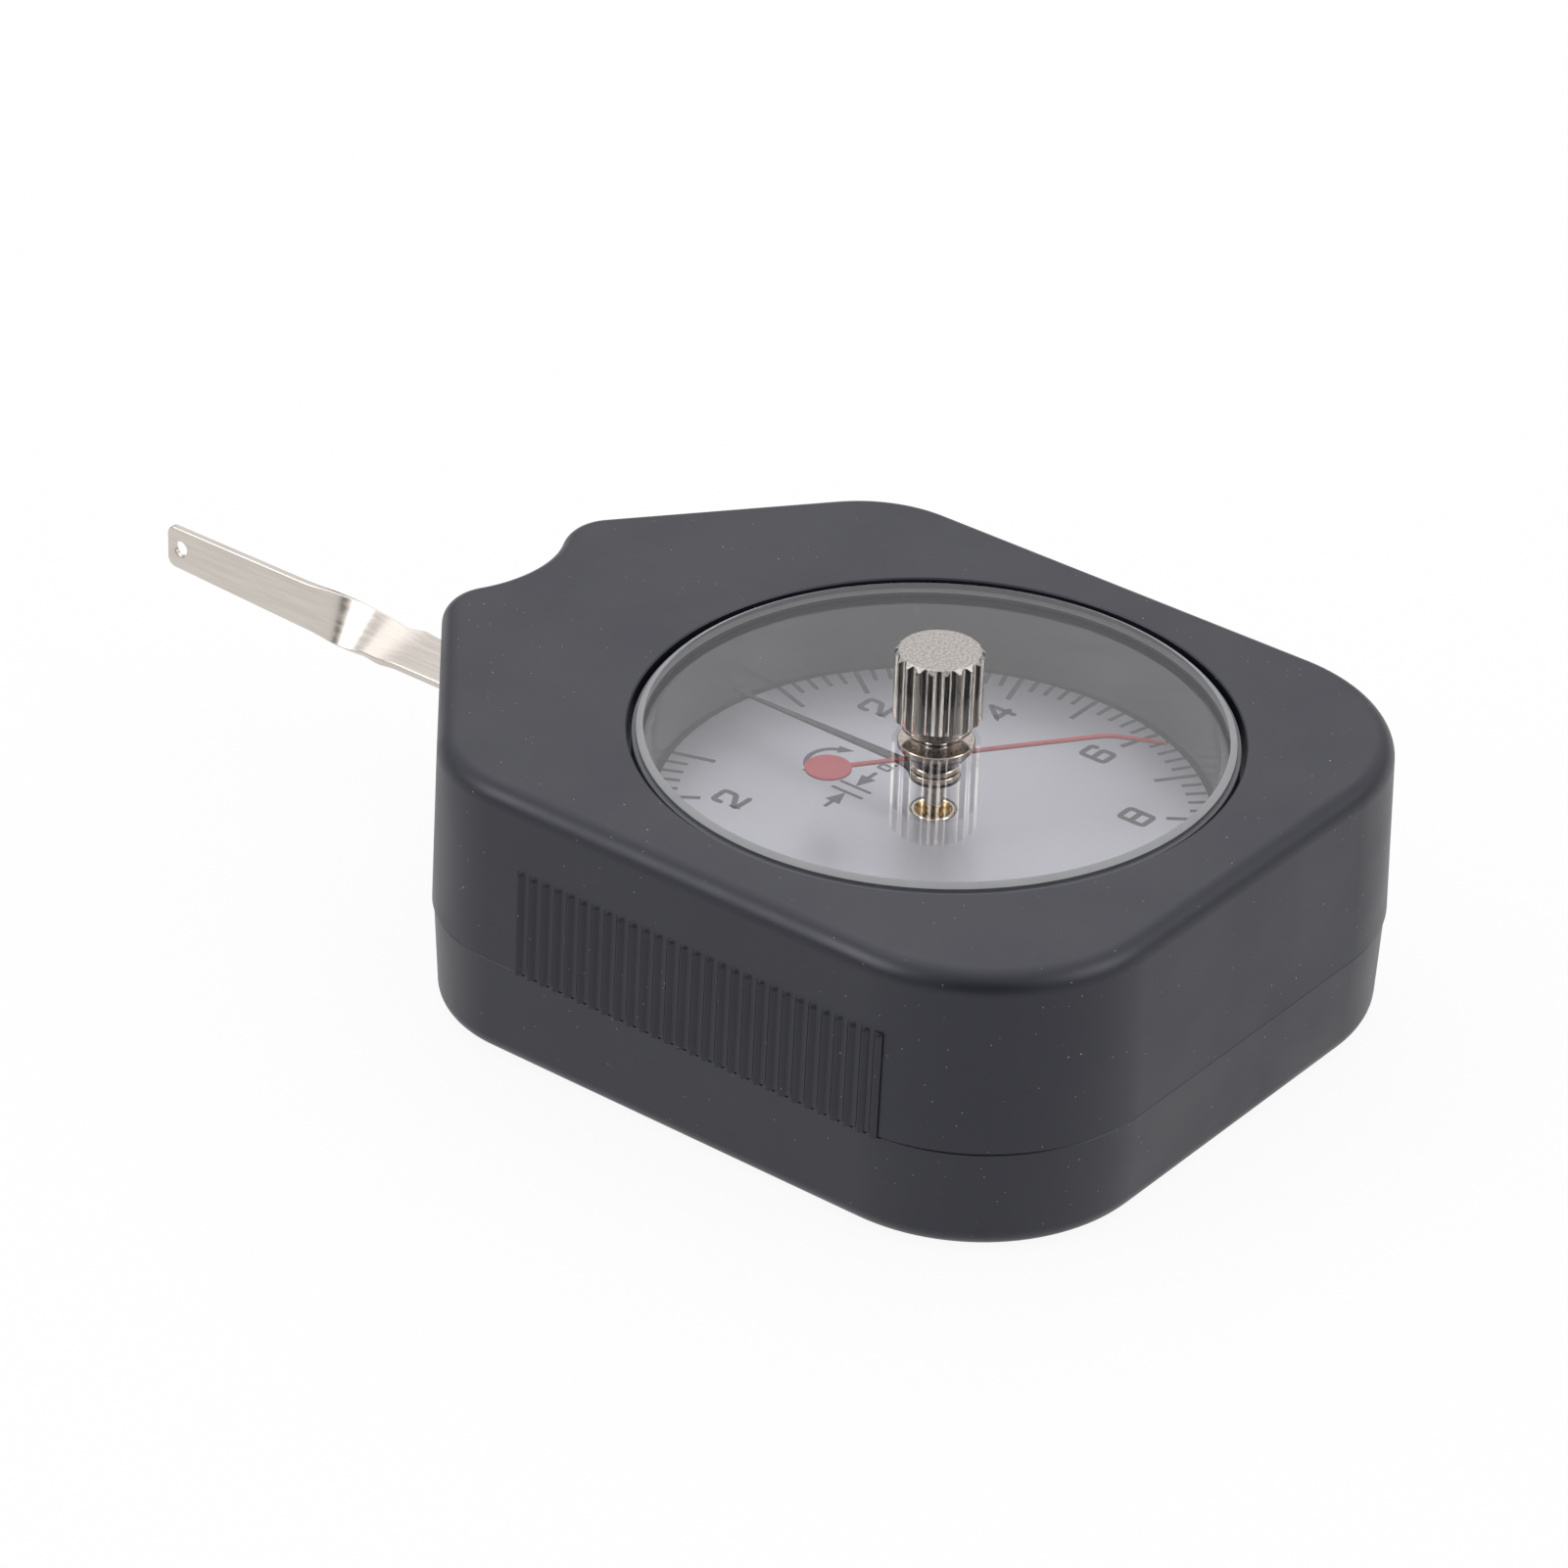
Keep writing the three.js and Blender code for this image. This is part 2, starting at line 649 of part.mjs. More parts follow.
function lowerPlate() {
  const bottom = lowerPlateBottom - overrun;
  const top = lowerPlateTop + overrun;
  return cut(
    plate(plateOutline(), lowerPlateBottom, plateThickness, smallSides),
    rod(bushRadius + fitGap, bottom, top),
    rod(bushRadius + fitGap, bottom, top, smallSides, 0, pivotY),
    ...pillarPlaces().map(([x, y]) => rod(plateScrew.shank + fitGap, bottom, top, smallSides, x, y)),
    ...movementPosts.map(([x, y]) => rod(footScrew.shank + fitGap, bottom, top, smallSides, x, y)),
    ...stopPlaces().map(([x, y]) => rod(stopPinRadius + fitGap, bottom, top, smallSides, x, y)),
    rod(studRadius + fitGap, bottom, top, smallSides, ...measuringStudPlace()),
  );
}

function pillar() {
  const bottom = lowerPlateTop + seatGap;
  const top = upperPlateBottom - seatGap;
  const hole = plateScrew.shank + fitGap;
  const body = turned([
    [0, bottom], [pillarRadius, bottom], [pillarRadius, bottom + pillarCollar],
    [pillarWaist, bottom + pillarCollar + pillarFlare], [pillarWaist, top - pillarCollar - pillarFlare],
    [pillarRadius, top - pillarCollar], [pillarRadius, top], [0, top],
  ], smallSides);
  return cut(
    body,
    rod(hole, bottom - overrun, bottom + pillarHoleDepth),
    rod(hole, top - pillarHoleDepth, top + overrun),
  );
}

// A flanged bush: its flange lies on the inner face of the plate and keeps the arbor's shoulder off it
function pivotBush(plateFace, plateBack) {
  const bore = pivotRadius + fitGap;
  const flangeFace = plateFace + Math.sign(plateFace - plateBack) * bushFlange;
  return turned([
    [bore, plateBack], [bushRadius, plateBack], [bushRadius, plateFace], [bushFlangeRadius, plateFace],
    [bushFlangeRadius, flangeFace], [bore, flangeFace], [bore, plateBack],
  ], smallSides);
}

function dialBush() {
  const bore = needleArborRadius + fitGap;
  const top = dialTop;
  return turned([
    [bore, upperPlateBottom - bushFlange], [bushFlangeRadius, upperPlateBottom - bushFlange],
    [bushFlangeRadius, upperPlateBottom - seatGap], [dialBushRadius, upperPlateBottom - seatGap],
    [dialBushRadius, top], [dialBushBowl, top], [bore, top - dialBushDish],
    [bore, upperPlateBottom - bushFlange],
  ], midSides);
}

// Involute tooth flank: angle off the tooth's middle at a radius, for the given wheel
function halfToothAngle(radius, pitchRadius, teeth) {
  const base = pitchRadius * Math.cos(radians(pressureAngle));
  const involute = (angle) => Math.tan(angle) - angle;
  const atPitch = involute(radians(pressureAngle));
  const here = radius > base ? involute(Math.acos(base / radius)) : 0;
  return Math.PI / (2 * teeth) - toothBacklash / (2 * pitchRadius) + atPitch - here;
}

// Points of one tooth from root to root, centred on an angle measured from +X
function toothPoints(middle, pitchRadius, teeth) {
  const tip = pitchRadius + addendumShare * gearModule;
  const root = pitchRadius - dedendumShare * gearModule;
  const radii = [root, pitchRadius, (pitchRadius + tip) / 2, tip];
  const left = radii.map((radius) => [radius, -halfToothAngle(radius, pitchRadius, teeth)]);
  const right = [...left].reverse().map(([radius, angle]) => [radius, -angle]);
  return [...left, ...right].map(([radius, angle]) => (
    new THREE.Vector2(radius * Math.cos(middle + angle), radius * Math.sin(middle + angle))
  ));
}

// Toothed sector: its teeth face -Y, towards the pinion
function sectorGear() {
  const down = -Math.PI / 2;
  const pitch = (2 * Math.PI) / sectorFullTeeth;
  const root = sectorPitchRadius - dedendumShare * gearModule;
  const half = radians(sectorHalfAngle);
  const edge = (angle, radius) => (
    new THREE.Vector2(radius * Math.cos(down + angle), radius * Math.sin(down + angle))
  );
  const points = [new THREE.Vector2(0, 0), edge(-half, root)];
  for (let i = 0; i < sectorTeeth; i += 1) {
    const middle = down + (i - (sectorTeeth - 1) / 2) * pitch;
    points.push(...toothPoints(middle, sectorPitchRadius, sectorFullTeeth));
  }
  points.push(edge(half, root));
  const rimInner = root - sectorRim;
  const spoke = (radius) => half - sectorSpoke / radius;
  const window = new THREE.Shape([
    edge(-spoke(rimInner), rimInner), edge(0, rimInner), edge(spoke(rimInner), rimInner),
    edge(spoke(sectorWindowInner), sectorWindowInner), edge(-spoke(sectorWindowInner), sectorWindowInner),
  ]);
  return cut(
    union(
      plate(new THREE.Shape(points), sectorBottom, sectorThickness),
      rod(sectorHubRadius, sectorBottom, sectorTop, midSides),
    ),
    plate(window, sectorBottom - overrun, sectorThickness + overrun * 2),
    rod(hubSleeveRadius + fitGap, sectorBottom - overrun, sectorTop + overrun),
  );
}

// Needle arbor: a pinion and its pivots turned from one bar. A tooth space faces +Y at rest.
function needleArbor() {
  const middle = (sectorTop + sectorBottom) / 2;
  const faceWidth = plateGap * pinionShare;
  const points = [];
  for (let i = 0; i < pinionTeeth; i += 1) {
    const angle = Math.PI / 2 + ((i + 0.5) * 2 * Math.PI) / pinionTeeth;
    points.push(...toothPoints(angle, pinionPitchRadius, pinionTeeth));
  }
  const teeth = plate(new THREE.Shape(points), middle - faceWidth / 2, faceWidth);
  const bottom = lowerPlateBottom + pivotEndGap;
  const shoulder = lowerPlateTop + bushFlange + fitGap;
  const top = needleHubTop - seatGap;
  const shaft = turned([
    [0, bottom], [pivotRadius, bottom], [pivotRadius, shoulder],
    [needleArborRadius, shoulder], [needleArborRadius, top], [0, top],
  ], smallSides);
  return union(shaft, teeth);
}

function leverArbor() {
  const bottom = lowerPlateBottom + pivotEndGap;
  const top = upperPlateTop - pivotEndGap;
  const lowShoulder = lowerPlateTop + bushFlange + fitGap;
  const highShoulder = upperPlateBottom - bushFlange - fitGap;
  return turned([
    [0, bottom], [pivotRadius, bottom], [pivotRadius, lowShoulder], [arborRadius, lowShoulder],
    [arborRadius, highShoulder], [pivotRadius, highShoulder], [pivotRadius, top], [0, top],
  ], smallSides);
}

function leverHub() {
  const bore = arborRadius + fitGap;
  const bottom = lowerPlateTop + bushFlange + hubEndGap;
  const flangeBottom = leverBottom - seatGap - plateGap * hubFlangeShare;
  const body = turned([
    [bore, bottom], [hubSleeveRadius, bottom], [hubSleeveRadius, sectorTop + seatGap],
    [hubBodyRadius, sectorTop + seatGap], [hubBodyRadius, flangeBottom], [hubFlangeRadius, flangeBottom],
    [hubFlangeRadius, leverBottom - seatGap], [bore, leverBottom - seatGap], [bore, bottom],
  ], midSides);
  return cut(body, ...hubScrewHoles(flangeBottom - overrun, leverBottom));
}

function hubScrewHoles(bottom, top) {
  return [-1, 1].map((side) => (
    rod(leverScrew.shank + fitGap, bottom, top, smallSides, side * hubScrewOffset, 0)
  ));
}

// Feeler lever: one strip, flat at the root, necked and turned a quarter turn on its way to an
// upright blade. A section gives the widths either side of the middle line, and the twist there.
function leverSection(y) {
  const { lerp, smoothstep } = THREE.MathUtils;
  const twistEnd = twistStart + twistLength;
  const widening = smoothstep(y, neckStart + neckFarRun, twistEnd);
  const step = (run) => (neckHalfWidth - leverHalfWidth) * smoothstep(y, neckStart, neckStart + run);
  const taper = Math.max(y - twistEnd, 0) / (leverReach - twistEnd);
  const drop = lerp(bladeRootDrop, bladeTipDrop, taper);
  return {
    y,
    near: leverHalfWidth + step(neckNearRun) + (drop - neckHalfWidth) * widening,
    far: leverHalfWidth + step(neckFarRun) + (bladeRise - neckHalfWidth) * widening,
    twist: (Math.PI / 2) * smoothstep(y, twistStart, twistEnd),
  };
}

function leverSections() {
  const sections = [leverSection(0)];
  for (let i = 0; i <= twistSteps; i += 1) {
    sections.push(leverSection(twistStart + (twistLength * i) / twistSteps));
  }
  for (let i = 0; i <= bladeCornerSteps; i += 1) {
    const angle = (Math.PI / 2) * (i / bladeCornerSteps);
    const inset = bladeCornerRadius * (1 - Math.cos(angle));
    const section = leverSection(leverReach - bladeCornerRadius * (1 - Math.sin(angle)));
    sections.push({ ...section, near: section.near - inset, far: section.far - inset });
  }
  return sections;
}

function feelerLever() {
  const rings = leverSections().map(({ y, near, far, twist }) => {
    const along = new THREE.Vector2(Math.cos(twist), Math.sin(twist));
    const normal = new THREE.Vector2(-along.y, along.x).multiplyScalar(leverThickness / 2);
    const corner = (reach, side) => new THREE.Vector3(
      along.x * reach + normal.x * side, y, leverHeight + along.y * reach + normal.y * side,
    );
    return [corner(-near, -1), corner(far, -1), corner(far, 1), corner(-near, 1)];
  });
  const eye = rod(leverEyeRadius, leverBottom, leverTop, midSides);
  const hole = rod(arborRadius + fitGap, leverBottom - overrun, leverTop + overrun);
  const tipY = leverReach - bladeHoleInset;
  const tipZ = leverHeight + (bladeRise - bladeTipDrop) / 2;
  const tipHole = rod(bladeHoleRadius, -overrun, overrun)
    .rotate([0, 90, 0])
    .translate([0, tipY, tipZ]);
  const screwHoles = hubScrewHoles(leverBottom - overrun, leverTop + overrun);
  return cut(union(loft(rings), eye), hole, tipHole, ...screwHoles);
}

// Flat spiral ribbon, wound outwards from the inner radius by a whole number of steps
function spiralRibbon({ inner, outer, turns, thickness, bottom, height }) {
  const steps = Math.round(turns * spiralSteps);
  const edge = (side) => Array.from({ length: steps + 1 }, (_, i) => {
    const angle = (2 * Math.PI * i) / spiralSteps;
    const radius = THREE.MathUtils.lerp(inner, outer, i / steps) + (side * thickness) / 2;
    return new THREE.Vector2(radius * Math.cos(angle), radius * Math.sin(angle));
  });
  return plate(new THREE.Shape([...edge(-1), ...edge(1).reverse()]), bottom, height);
}

function measuringSpring() {
  return spiralRibbon({
    inner: hubSleeveRadius + springEndGap + measuringSpringThickness / 2,
    outer: measuringSpringOuter,
    turns: measuringSpringTurns,
    thickness: measuringSpringThickness,
    bottom: measuringSpringBottom,
    height: measuringSpringHeight,
  });
}

// The outer end of the measuring spring lies half a turn from where it starts
function measuringStudPlace() {
  return [-measuringSpringOuter, pivotY];
}

// A post with a slit that the outer end of a spiral spring lies in
function springStud(bottom, top, slitBottom, slitTop, thickness) {
  const slit = box(
    thickness + springEndGap * 2, (studRadius + overrun) * 2, slitTop - slitBottom + springEndGap * 2,
    0, 0, (slitTop + slitBottom) / 2,
  );
  return cut(rod(studRadius, bottom, top), slit);
}

function measuringStud() {
  const top = measuringSpringBottom + measuringSpringHeight;
  return springStud(
    lowerPlateBottom, top + springEndGap * 2,
    measuringSpringBottom, top, measuringSpringThickness,
  );
}

function hairspring() {
  return spiralRibbon({
    inner: colletRadius + springEndGap + hairspringThickness / 2,
    outer: hairspringOuter,
    turns: hairspringTurns,
    thickness: hairspringThickness,
    bottom: hairspringBottom,
    height: hairspringHeight,
  });
}

function hairspringStud() {
  return springStud(
    hairspringBottom - springEndGap * 2, upperPlateBottom - seatGap,
    hairspringBottom, hairspringBottom + hairspringHeight, hairspringThickness,
  );
}

function hairspringCollet() {
  const middle = hairspringBottom + hairspringHeight / 2;
  const half = (plateGap * colletShare) / 2;
  return ring(needleArborRadius + fitGap, colletRadius, middle - half, middle + half, smallSides);
}

function stopPlaces() {
  const pinAngle = THREE.MathUtils.radToDeg(Math.asin((stopPinRadius + stopGap) / stopCircle));
  const spread = sectorHalfAngle + leverSwing + pinAngle;
  return [-spread, spread].map((angle) => {
    const [x, y] = atAngle(180 + angle, stopCircle);
    return [x, y + pivotY];
  });
}

// Needle

function needle() {
  const half = needleRootWidth / 2;
  const tip = needleTipWidth / 2;
  const root = needleEyeRadius * Math.SQRT1_2;
  const blade = new THREE.Shape();
  blade.moveTo(-root, root);
  blade.lineTo(root, root);
  blade.quadraticCurveTo(half, needleEyeRadius, half, needleFlare);
  blade.lineTo(tip, needleLength - tip);
  blade.lineTo(0, needleLength);
  blade.lineTo(-tip, needleLength - tip);
  blade.lineTo(-half, needleFlare);
  blade.quadraticCurveTo(-half, needleEyeRadius, -root, root);
  return cut(
    union(
      plate(blade, needleBottom, needleThickness, flareSteps),
      rod(needleEyeRadius, needleBottom, needleTop, midSides),
    ),
    rod(needleArborRadius + fitGap, needleBottom - overrun, needleTop + overrun),
  );
}

function needleHub() {
  const bore = needleArborRadius + fitGap;
  const bottom = needleTop + seatGap;
  const rim = bottom + needleHubRim;
  return turned([
    [bore, bottom], [needleHubRadius, bottom], [needleHubRadius, rim],
    [needleHubWaist, rim + needleHubBevel], [needleHubWaist, needleHubTop], [bore, needleHubTop],
    [bore, bottom],
  ], midSides);
}

// Drag hand: a flat arm with a round counterweight. The arm turns down near its end, to read
// close to the scale. Modelled along +Y and turned to its place.
function dragHand() {
  const armHalf = handArmWidth / 2;
  const start = handBend - handBendRun;
  const flatArm = new THREE.Shape([
    new THREE.Vector2(-armHalf, -counterweightReach), new THREE.Vector2(armHalf, -counterweightReach),
    new THREE.Vector2(armHalf, start), new THREE.Vector2(-armHalf, start),
  ]);
  const middle = (handTop + handBottom) / 2;
  const drop = middle - needleTop - handPassGap - handThickness / 2;
  const fall = Math.atan2(drop, handReach - handBend);
  const turnRadius = handBendRun / Math.tan(fall / 2);
  const rings = [];
  const addRing = (y, z, angle, half) => {
    const up = new THREE.Vector2(Math.sin(angle), Math.cos(angle)).multiplyScalar(handThickness / 2);
    rings.push([
      new THREE.Vector3(-half, y - up.x, z - up.y), new THREE.Vector3(half, y - up.x, z - up.y),
      new THREE.Vector3(half, y + up.x, z + up.y), new THREE.Vector3(-half, y + up.x, z + up.y),
    ]);
  };
  addRing(start - overrun, middle, 0, armHalf);
  for (let i = 0; i <= handBendSteps; i += 1) {
    const angle = (fall * i) / handBendSteps;
    const y = start + turnRadius * Math.sin(angle);
    const z = middle - turnRadius * (1 - Math.cos(angle));
    addRing(y, z, angle, armHalf);
  }
  addRing(handReach, middle - drop, fall, handTipWidth / 2);
  const [weightX, weightY] = [0, -counterweightReach];
  return cut(
    union(
      plate(flatArm, handBottom, handThickness),
      loft(rings),
      rod(counterweightRadius, handBottom, handTop, midSides, weightX, weightY),
      rod(handEyeRadius, handBottom, handTop, midSides),
    ),
    rod(stemRadius + fitGap, handBottom - overrun, handTop + overrun),
  ).rotate([0, 0, handAngle]);
}

// The flange turns with the stem just below the crystal
function dragFlange() {
  return ring(stemRadius + fitGap, flangeRadius, flangeBottom, flangeTop, midSides);
}

// A cupped spring washer between the hand and the flange keeps the hand where it is put
function frictionWasher() {
  const bore = stemRadius + fitGap;
  const bottom = handTop + seatGap;
  const rim = flangeBottom - seatGap;
  return turned([
    [bore, bottom], [washerFootRadius, bottom], [washerRimRadius, rim],
    [washerRimRadius - washerThickness, rim],
    [washerFootRadius - washerThickness, bottom + washerThickness], [bore, bottom + washerThickness],
    [bore, bottom],
  ], midSides);
}

// Knob: fluted grip, smooth neck that stands on the crystal, and a stem down to the drag hand
function knob() {
  const top = caseHeight + knobTop;
  const gripBottom = top - knobGripHeight;
  const neckBottom = crystalTop + seatGap;
  const flutes = [];
  for (let i = 0; i < knobFlutes; i += 1) {
    for (const share of [-knobCrestShare, knobCrestShare, 1 / 2]) {
      const angle = ((i + share) * 2 * Math.PI) / knobFlutes;
      const radius = share > knobCrestShare ? knobRadius - knobFluteDepth : knobRadius;
      flutes.push(new THREE.Vector2(radius * Math.cos(angle), radius * Math.sin(angle)));
    }
  }
  const grip = plate(new THREE.Shape(flutes), gripBottom, knobGripHeight);
  const envelope = turned([
    [0, gripBottom - overrun], [knobRadius + overrun, gripBottom - overrun],
    [knobRadius + overrun, top - knobChamfer - overrun], [knobRadius - knobChamfer, top], [0, top],
  ]);
  const body = turned([
    [0, handBottom], [stemRadius, handBottom], [stemRadius, neckBottom],
    [knobNeckRadius, neckBottom], [knobNeckRadius, gripBottom + knobChamfer], [0, gripBottom + knobChamfer],
  ], midSides);
  return union(grip.intersect(envelope), body);
}

// Assembly

const gauge = new THREE.Group();
const leverGroup = new THREE.Group();
leverGroup.position.y = pivotY;
gauge.add(leverGroup);

function add(name, solid, finish, { group = gauge, x = 0, y = 0, z = 0, flip = false } = {}) {
  const mesh = new THREE.Mesh(toGeometry(solid), new THREE.MeshStandardMaterial(finish));
  mesh.name = name;
  mesh.position.set(x, y, z);
  if (flip) mesh.rotation.x = Math.PI;
  group.add(mesh);
}

// Case
add('case_body', caseBody(), blackAbs);
add('bottom_cover', bottomCover(), blackAbs);
caseBosses.forEach(([x, y], i) => {
  add(`case_screw_${i + 1}`, screw(caseScrew), steel, { x, y, z: caseScrewSeat });
});
add('crystal', crystal(), acrylic);
add('crystal_seal', crystalSeal(), blackRubber);
add('dial_plate', dialPlate(), silveredBrass);

// Movement frame
add('upper_plate', upperPlate(), brass);
add('lower_plate', lowerPlate(), brass);
pillarPlaces().forEach(([x, y], i) => {
  add(`pillar_${i + 1}`, pillar(), brass, { x, y });
  add(`upper_plate_screw_${i + 1}`, screw(plateScrew), steel,
    { x, y, z: upperPlateTop + seatGap, flip: true });
  add(`lower_plate_screw_${i + 1}`, screw(plateScrew), steel, { x, y, z: lowerPlateBottom - seatGap });
});
movementPosts.forEach(([x, y], i) => {
  add(`movement_screw_${i + 1}`, screw(footScrew), steel, { x, y, z: lowerPlateTop + seatGap, flip: true });
});
add('needle_bush', pivotBush(lowerPlateTop, lowerPlateBottom), brass);
add('dial_bush', dialBush(), brass);
add('lever_bush_lower', pivotBush(lowerPlateTop, lowerPlateBottom), brass, { y: pivotY });
add('lever_bush_upper', pivotBush(upperPlateBottom, upperPlateTop), brass, { y: pivotY });
stopPlaces().forEach(([x, y], i) => {
  add(`stop_pin_${i + 1}`, rod(stopPinRadius, lowerPlateBottom, sectorTop + stopPinRise), steel, { x, y });
});
const [studX, studY] = measuringStudPlace();
add('measuring_spring_stud', measuringStud(), brass, { x: studX, y: studY });
add('hairspring_stud', hairspringStud(), brass, { x: hairspringOuter });

// Lever
add('feeler_lever', feelerLever(), stainless, { group: leverGroup });
add('lever_hub', leverHub(), brass, { group: leverGroup });
add('lever_arbor', leverArbor(), steel, { group: leverGroup });
add('sector_gear', sectorGear(), brass, { group: leverGroup });
add('measuring_spring', measuringSpring(), springSteel, { group: leverGroup });
[-1, 1].forEach((side, i) => {
  add(`lever_screw_${i + 1}`, screw(leverScrew), steel,
    { group: leverGroup, x: side * hubScrewOffset, z: leverTop + seatGap, flip: true });
});

// Needle
add('needle_arbor', needleArbor(), steel);
add('needle', needle(), blackLacquer);
add('needle_hub', needleHub(), nickel);
add('hairspring_collet', hairspringCollet(), brass);
add('hairspring', hairspring(), springSteel);

// Drag hand and knob
add('drag_hand', dragHand(), redLacquer);
add('drag_flange', dragFlange(), nickel);
add('friction_washer', frictionWasher(), springSteel);
add('knob', knob(), nickel);

export default gauge;
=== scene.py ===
"""Dial tension gauge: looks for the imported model, as photographed on white.

Sizes are in millimetres until a mesh is made, then in metres, in the frame of the CAD model.
"""
import math

import bpy
import bmesh
from mathutils import Matrix, Vector


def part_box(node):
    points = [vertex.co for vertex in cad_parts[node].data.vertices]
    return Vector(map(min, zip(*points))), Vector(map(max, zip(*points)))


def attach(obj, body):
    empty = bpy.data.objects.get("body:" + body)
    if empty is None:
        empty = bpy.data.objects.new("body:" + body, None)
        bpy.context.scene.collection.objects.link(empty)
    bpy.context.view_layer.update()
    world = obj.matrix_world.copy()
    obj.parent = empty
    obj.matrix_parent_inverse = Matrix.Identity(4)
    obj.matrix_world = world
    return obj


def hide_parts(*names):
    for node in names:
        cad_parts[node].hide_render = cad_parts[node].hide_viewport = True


MM = 0.001
WELD = 0.5  # how far a piece that is joined on reaches into the other
PAST = 1  # how far a cutting tool reaches beyond what it cuts
SEAT_GAP = 0.05  # between two pieces that touch
HAIR = 0.02  # tolerance for telling faces apart

# Case outline and section, as in the CAD model
CASE_HALF_WIDTH = 31
CASE_REAR = 32.2
CASE_FRONT = 45.4
CASE_HEIGHT = 25.5
REAR_CORNER_RADIUS = 16.1
SHOULDER_FRONT = 27.6
SHOULDER_RADIUS = 12.2
TAPER_HALF_WIDTH = 9.5
LOBE_RADIUS = 4.8
NOTCH_DEPTH = 2
WALL = 2.2
TOP_WALL = 2.4
FLOOR = 2.2
UPPER_DRAFT = 0.43
LOWER_DRAFT = 0.4
TOP_FILLET = 1.9
BOTTOM_FILLET = 1.7
PARTING = 9.4
PARTING_STEP = 0.15
PARTING_GAP = 0.05
EDGE_BREAK = 0.12
LIP_GAP = 0.3
LIP_THICKNESS = 1
LIP_RISE = 1
SLOT_GAP = 0.55
SLOT_HEADROOM = 1.6
SLOT_HALF_DEPTH = 4.4

# Ribs on the grips, as in the photo
RIB_COUNT = 29
RIB_PITCH = 1.293
RIB_WIDTH = 0.8
RIB_CREST = 0.36
RIB_DROP = 6.57
RIB_ROOT = 1.1
RIB_CENTRE = 0.15
RIB_FLAT = 0.06
RIB_END = 0.01  # what is left of the crest where the sloped end meets the wall

# Screws, and what they go into
BOSSES = [(side * 20.4, y) for side in (-1, 1) for y in (-22, 27)]
BOSS_RADIUS = 2.6
PILOT_RADIUS = 1
PILOT_TOP = 14.15
COVER_BOSS_RADIUS = 3.2
RECESS_RADIUS = 2.3
RECESS_BREAK = 0.2
POSTS = [(-14, -13.5), (14, -13.5), (12.5, 15)]
POST_RADIUS = 2.2
POST_TOP = 3.95
POST_HOLE_RADIUS = 0.7

# Window, crystal and dial
OPENING_RADIUS = 25.25
CHAMBER_RADIUS = 23.25
CHAMBER_WALL = 1.2
CHAMBER_BOTTOM = 15.71
CRYSTAL_RADIUS = 24.85
CRYSTAL_TOP = 25.8
CRYSTAL_BOTTOM = 23.3
CRYSTAL_STEP = 0.36
CRYSTAL_STEP_DROP = 0.7
CRYSTAL_BEVEL = 0.57
CRYSTAL_BEVEL_DROP = 0.3
CRYSTAL_LAND = 24.05
SEAL_WIDTH = 0.9
LEDGE = 22.9
DIAL_TOP = 16.61
DIAL_BOTTOM = 16.21
DIAL_RADIUS = 22.95
DIAL_BORE = 1.98
BUSH_BOTTOM = 13.9

# Print on the dial
INK = 0.015
DIVISION = 3.6  # degrees
DIVISIONS = 50  # from zero to half a turn
FIRST_DIVISION = 5
SCALE_RADIUS = 22.88
MAJOR_LINE = (19.1, 0.46)  # inner radius, width
MINOR_LINE = (21.1, 0.4)
FIGURE_CIRCLE = 16.68
FIGURE_UNIT = 1.2635
FIGURE_WIDTH = 0.5
ARROW_WIDTH = 0.36
ARROW_HEAD = (1.75, 1.45)  # length, width
POINT = 0.02  # width where an arrow ends

# Lever
PIVOT_Y = 19.2
LEVER_SWING = 12
LEVER_HEIGHT = 11.5
LEVER_THICKNESS = 0.65
LEVER_REACH = 65.75
LEVER_HALF_WIDTH = 2.93
LEVER_EYE_RADIUS = 4.3
LEVER_BORE = 1.1
LEVER_SCREW_BORE = 0.55
LEVER_SCREW_X = 2.6
TWIST_START = 36.5
TWIST_LENGTH = 13.4
NECK_START = 37.9
NECK_FAR_RUN = 1.8
NECK_NEAR_RUN = 4
NECK_HALF_WIDTH = 2.1
BLADE_RISE = 2.46
BLADE_ROOT_DROP = 2.14
BLADE_TIP_DROP = 1.54
BLADE_CORNER_RADIUS = 0.7
TIP_HOLE_INSET = 1.4

# Needle
NEEDLE_TOP = 19.96
NEEDLE_BOTTOM = 19.76
NEEDLE_LENGTH = 21.1
NEEDLE_HALF_WIDTH = 0.475
NEEDLE_TIP_HALF_WIDTH = 0.15
NEEDLE_FLARE = 4.6
NEEDLE_EYE_RADIUS = 2.12
NEEDLE_BORE = 0.9
NEEDLE_EDGE = 0.04
HUB_TOP = 21.06

# Drag hand
HAND_BOTTOM = 21.56
HAND_TOP = 21.76
HAND_ANGLE = -126.6
HAND_PASS_GAP = 0.2  # over the needle
HAND_EYE_RADIUS = 2.3
DRIVE_BORE = 1.3
FLANGE_BOTTOM = 22.65
FLANGE_TOP = 23.2
FLANGE_RADIUS = 3.2
WASHER_THICKNESS = 0.2

# Knob
STEM_RADIUS = 1.2
NECK_BOTTOM = 25.85
NECK_RADIUS = 2.9
NECK_GROOVE = 0.06  # depth of the groove round the neck
GRIP_BOTTOM = 26.8
GRIP_LIMIT = 3.85  # beyond the crests
KNOB_TOP = 33
KNOB_RADIUS = 3.7
KNOB_FLUTES = 20
KNOB_FLUTE_DEPTH = 0.3
KNOB_CREST_SHARE = 0.2
KNOB_CHAMFER = 0.36


# Mesh helpers

